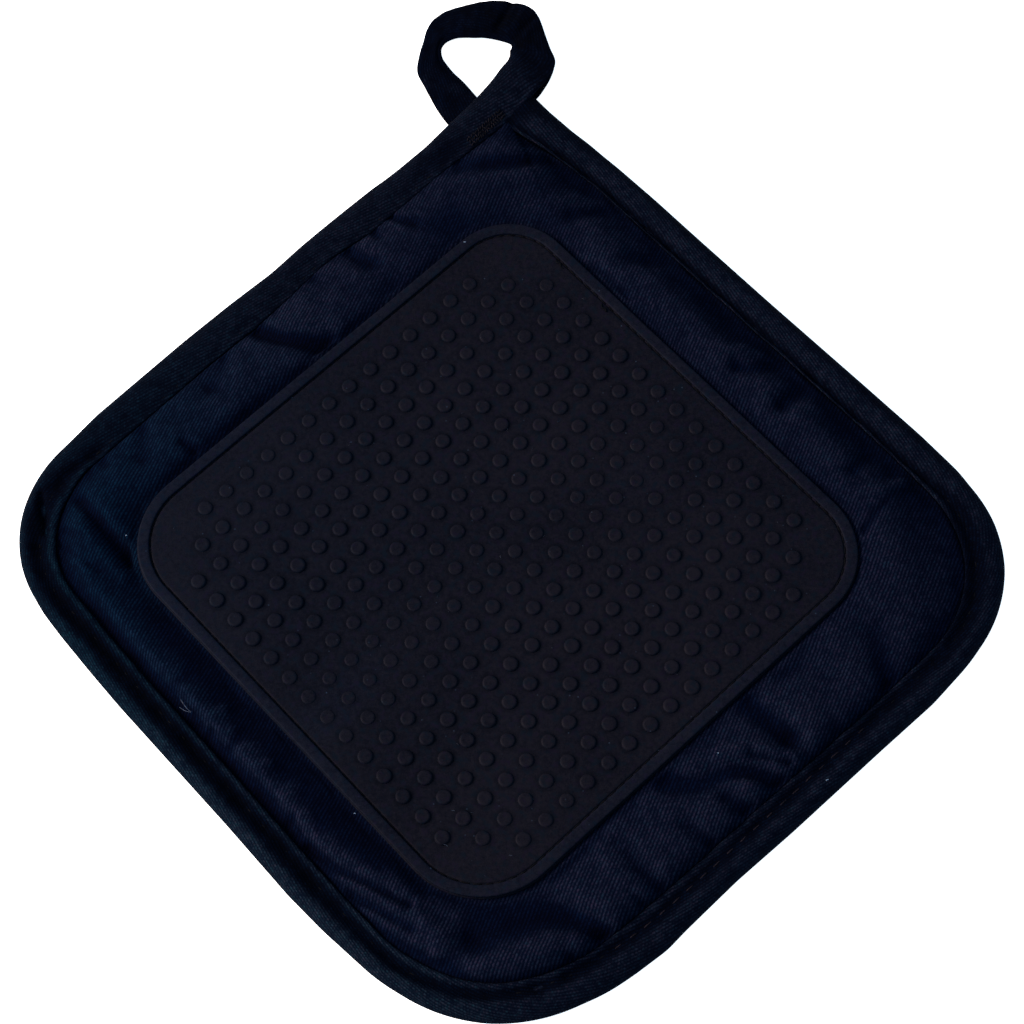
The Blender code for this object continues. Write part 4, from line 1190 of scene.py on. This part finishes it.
def newTree(name, **sockets):
    # every tree here copies one object, the shape
    tree = bpy.data.node_groups.new(name, "GeometryNodeTree")
    names = {}
    kinds = {"Geometry": "Geometry", "shape": "Object", "seed": "Int", "material": "Material", **sockets}
    for label, kind in kinds.items():
        socket = tree.interface.new_socket(label, in_out="INPUT", socket_type="NodeSocket" + kind)
        names[label] = socket.identifier
    tree.interface.new_socket("Geometry", in_out="OUTPUT", socket_type="NodeSocketGeometry")
    graph = Graph(tree)
    return tree, graph, graph.add("NodeGroupInput"), names


def endTree(graph, given, points, spin, size):
    shape = graph.add("GeometryNodeObjectInfo", None, {"Object": given.other("shape")}, "Geometry")
    copies = {"Points": points, "Instance": shape, "Rotation": spin, "Scale": size}
    placed = graph.add("GeometryNodeInstanceOnPoints", None, copies)
    real = graph.add("GeometryNodeRealizeInstances", None, {"Geometry": placed})
    done = graph.add("GeometryNodeSetMaterial", None, {"Geometry": real, "Material": given.other("material")})
    graph.add("NodeGroupOutput", None, {"Geometry": done})


def applyTree(piece, made, **values):
    # the tree's result as a plain mesh; the shape that it copies isn't needed any more
    tree, names = made
    modifier = piece.modifiers.new(tree.name, "NODES")
    modifier.node_group = tree
    for label, value in values.items():
        modifier[names[label]] = value
    graph = bpy.context.evaluated_depsgraph_get()
    result = bpy.data.meshes.new_from_object(piece.evaluated_get(graph), depsgraph=graph)
    piece.modifiers.clear()
    piece.data = result
    result.name = piece.name
    result.shade_smooth()
    bpy.data.objects.remove(values["shape"])


def nubTree():
    tree, graph, given, names = newTree("nubs", pitch="Float", aSide="Int", leftOut="Float", shift="Float")
    pitch, count, seed, shift = (given.other(name) for name in ("pitch", "aSide", "seed", "shift"))
    span = pitch * (count - 1)
    sizes = {"Size X": span, "Size Y": span, "Vertices X": count, "Vertices Y": count}
    points = graph.add("GeometryNodeMeshGrid", None, sizes)
    x, y, _ = graph.parts(graph.add("GeometryNodeInputPosition"))
    reach = span - graph.maths("ABSOLUTE", x) - graph.maths("ABSOLUTE", y)
    inCorner = {"operation": "LESS_THAN", "data_type": "FLOAT"}
    outside = graph.add("FunctionNodeCompare", inCorner, {"A": reach, "B": given.other("leftOut") * pitch})
    chosen = {"Geometry": points, "Selection": outside}
    kept = graph.add("GeometryNodeDeleteGeometry", {"domain": "POINT"}, chosen)
    nudge = graph.vector(*(graph.chance(shift * -1, shift, seed + step) for step in (1, 2)))
    moved = graph.add("GeometryNodeSetPosition", None, {"Geometry": kept, "Offset": nudge})
    spin = graph.vector(0.0, 0.0, graph.chance(0.0, 2 * math.pi, seed))
    size = graph.chance(0.97, 1.03, seed + 3)
    endTree(graph, given, moved, spin, graph.vector(size, size, 1.0))
    return tree, names


def makeNubs(shape):
    nub = turnedShape("nubShape", shape["profile"], shape["sides"])
    nubs = meshObject("nubs", np.zeros((0, 3)))
    sizes = {"pitch": shape["pitch"] * mm, "aSide": shape["aSide"], "leftOut": shape["leftOut"]}
    applyTree(nubs, nubTree(), **sizes, shape=nub, shift=shape["shift"] * mm, seed=4, material=nubSilicone)
    toRight = Matrix.Translation((shape["shiftRight"] * mm, 0, 0))
    nubs.data.transform(toRight @ Matrix.Rotation(math.radians(-45), 4, "Z"))
    return nubs


blackSilicone = makeSilicone("blackSilicone", siliconeFinish)
nubSilicone = makeSilicone("nubSilicone", siliconeFinish, 0.15)
patchPlate = makePatch(patchShape)
finishPiece(patchPlate, blackSilicone)
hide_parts("silicone_patch")
nubs = makeNubs(nubShape)
finishPiece(nubs, nubSilicone)

print("stage: stitches and threads")

seams = {
    # length, thickness, spacing, seed
    "patch": (2.4, 0.42, 2.9, 3),
    "patchBack": (2.4, 0.42, 2.9, 5),
    "binding": (2.4, 0.42, 4.4, 7),
    "bindingBack": (2.4, 0.42, 4.4, 9),
    "tack": ((1.2, 0.3, 0.8, 15), (1.2, 0.3, 0.8, 19), (1.2, 0.3, 0.8, 23)),
}

# inset, height and how much of the patch's warp it follows
patchSeams = {"front": (patchShape["seamInset"], patchShape["seamHeight"], 1), "back": (3.65, 0.26, 0)}
backOfBinding = (7.6, 0.26)  # inset, height
tackLine = ((-89.9, 74.4, 5.9), (-90.2, 80.5, 5.95), (-90.5, 86.4, 5.95))

# single threads and fibres: material, radius, and x, y, z of each one's points
looseThreads = {
    "patchEnds": (blackThread, 0.2, (
        (-49.2, 66.9, 8.5, -48.3, 66.2, 8.9, -47.4, 66.6, 8.95, -46.6, 66, 8.8, -45.8, 66.3, 8.7),
        (-31.6, 66.6, 8.5, -30.6, 65.7, 8.9, -29.8, 66.1, 8.9, -29, 65.6, 8.75),
    )),
    "paleEnd": (paleFibre, 0.085, (
        (-21, -82.8, 7, -22.2, -83, 7.1, -23.8, -82.9, 7, -25.4, -82.6, 6.9),
        (-21, -82.9, 6.9, -22.4, -83.7, 6.8, -24.2, -84.1, 6.5),
    )),
    "specks": (whiteSpeck, 0.13, (
        (98.5, 18.3, 6, 98.8, 18.9, 6.05), (-69.5, 52.6, 9.15, -69.1, 53.1, 9.17),
        (76.2, 3.2, 9.6, 76.5, 3.5, 9.6), (26.4, -70.9, 8.5, 26.8, -70.6, 8.5),
        (-67.9, -64.8, 8.4, -67.6, -64.5, 8.4),
    )),
    "fibres": (paleFibre, 0.05, (
        (47, -60.5, 8.7, 47.7, -60, 8.8, 48.3, -59.9, 8.7), (42.3, -53.2, 8.7, 42.9, -52.7, 8.75),
        (60, -50.6, 8.7, 60.7, -50.1, 8.75), (-48.6, 54.2, 8.7, -48.2, 55, 8.75),
        (7.4, -57.4, 8.7, 8, -56.9, 8.75),
    )),
}

lint = {
    "radius": 0.02,
    "density": 2500.0,
    "seed": 12,
    "fibre": ((-0.45, 0, 0), (-0.15, 0.08, 0.05), (0.2, 0.02, 0.05), (0.45, 0.1, 0)),
    "field": ((-64, -64, 8.75), (64, -64, 8.75), (64, 64, 8.75), (-64, 64, 8.75)),
}


def tube(points, radius, sides=6):
    # a closed tube along the points: its points and faces
    points = np.array(points, float)
    ahead = np.gradient(points, axis=0)
    ahead /= np.linalg.norm(ahead, axis=1)[:, None]
    side = np.cross(ahead, (0.0, 0.0, 1.0))
    side /= np.linalg.norm(side, axis=1)[:, None]
    up = np.cross(side, ahead)
    turns = np.linspace(0, 2 * math.pi, sides, endpoint=False)[None, :, None]
    swell = np.full(len(points), radius)
    swell[[0, -1]] *= 0.55
    ring = side[:, None] * np.cos(turns) + up[:, None] * np.sin(turns)
    rings = points[:, None] + ring * swell[:, None, None]
    last = (len(points) - 1) * sides
    ends = [tuple(range(sides)), tuple(range(last, last + sides))[::-1]]
    return rings.reshape(-1, 3), tubeFaces(len(points), sides) + ends


def tubesObject(name, paths, radius, convert=toFrame):
    points, faces = [], []
    for path in paths:
        more, sides = tube(path, radius)
        faces += [tuple(corner + len(points) for corner in face) for face in sides]
        points += more.tolist()
    piece = meshObject(name, points, faces=faces, convert=convert)
    faceOutwards(piece.data)
    return piece


def stitchShape(length, thick):
    # one stitch along x, its ends sunk into the cloth
    low = -thick * 0.5
    arch = ((-1, low), (-0.7, -0.02), (0, 0.03), (0.7, -0.02), (1, low))
    path = [(length / 2 * at, 0, height) for at, height in arch]
    return tubesObject("stitchShape", (path,), thick / 2, toMetres)


def stitchTree():
    tree, graph, given, names = newTree("stitches", spacing="Float", turn="Float", waver="Float")
    seed, waver = given.other("seed"), given.other("waver")
    path = graph.add("GeometryNodeMeshToCurve", None, {0: given})
    spaced = {0: path, "Length": given.other("spacing")}
    even = graph.add("GeometryNodeResampleCurve", {"mode": "LENGTH"}, spaced)
    tangent = graph.add("GeometryNodeInputTangent")
    aimed = graph.add("FunctionNodeAlignEulerToVector", {"axis": "X", "pivot_axis": "Z"}, {"Vector": tangent})
    turn = graph.chance(waver * -1, waver, seed) + given.other("turn")
    spin = graph.vectorMaths("ADD", aimed, graph.vector(0.0, 0.0, turn))
    endTree(graph, given, even, spin, graph.vector(graph.chance(0.82, 1.08, seed + 1), 1.0, 1.0))
    return tree, names


def makeStitches(name, points, sizes, finish, closed=False, turn=0.0, waver=0.06):
    length, thick, spacing, seed = sizes
    count = len(points)
    edges = [(index, (index + 1) % count) for index in range(count - (not closed))]
    row = meshObject(name, points, edges)
    values = {"spacing": spacing * mm, "turn": turn, "waver": waver, "seed": seed, "material": finish}
    applyTree(row, stitchTree(), shape=stitchShape(length, thick), **values)
    finishPiece(row, finish)


def seamOnPatch(inset, height, warp):
    points = outline(patchCorners, inset, *patchShape["seamSteps"])
    return atHeight(points, height + warp * patchWarp(*points.T))


def seamOnBinding(front, first, last, lift=-0.2):
    edge, inward, length = bindingStations({"arcSteps": 30, "sideSteps": 80})
    values = edgeValues(length)
    backInset, z = backOfBinding
    inset = values["groove"] if front else realInset(backInset, values)
    flat = edge + inward * inset[:, None]
    if front:
        nominal = (inset - values["outer"]) / (values["lip"] - values["outer"]) * bindingShape["wide"]
        z = bindingTop(nominal, length, *flat.T, values) + lift
    keep = (length > first) & (length < last)
    return atHeight(flat, z + liftAt(*flat.T))[keep]


def lintTree():
    tree, graph, given, names = newTree("lint", density="Float")
    seed = given.other("seed")
    spread = {"Mesh": given, "Density": given.other("density"), "Seed": seed}
    spots = graph.add("GeometryNodeDistributePointsOnFaces", None, spread)
    spin = graph.vector(0.0, 0.0, graph.chance(0.0, 2 * math.pi, seed))
    endTree(graph, given, spots, spin, graph.vector(graph.chance(0.25, 1.1, seed + 1), 1.0, 1.0))
    return tree, names


def makeLint():
    fibre = tubesObject("fibreShape", (lint["fibre"],), lint["radius"], toMetres)
    field = meshObject("lint", lint["field"], faces=[(0, 1, 2, 3)])
    applyTree(field, lintTree(), shape=fibre, density=lint["density"], seed=lint["seed"], material=paleFibre)
    finishPiece(field, paleFibre)


makeStitches("patchSeam", seamOnPatch(*patchSeams["front"]), seams["patch"], blackThread, True)
makeStitches("patchSeamBack", seamOnPatch(*patchSeams["back"]), seams["patchBack"], blackThread, True)
makeStitches("bindingSeamA", seamOnBinding(True, 0, 240), seams["binding"], blackThread)
makeStitches("bindingSeamB", seamOnBinding(True, 242, 324, 0.02), seams["binding"], brownThread)
makeStitches("bindingSeamC", seamOnBinding(True, 326, 716), seams["binding"], blackThread)
makeStitches("bindingSeamBack", seamOnBinding(False, 0, 731), seams["bindingBack"], blackThread)
for index, sizes in enumerate(seams["tack"]):
    line = np.array(tackLine) - (index, 0, 0)
    line[:, 2] += liftAt(*line[:, :2].T)
    makeStitches(f"barTack{index + 1}", line, sizes, tackThread, turn=1.1, waver=1.1)
for name, (finish, radius, paths) in looseThreads.items():
    strands = [smoothLine(np.reshape(path, (-1, 3)), 4 * len(path) // 3) for path in paths]
    finishPiece(tubesObject(name, strands, radius), finish)
makeLint()

print("stage: done")
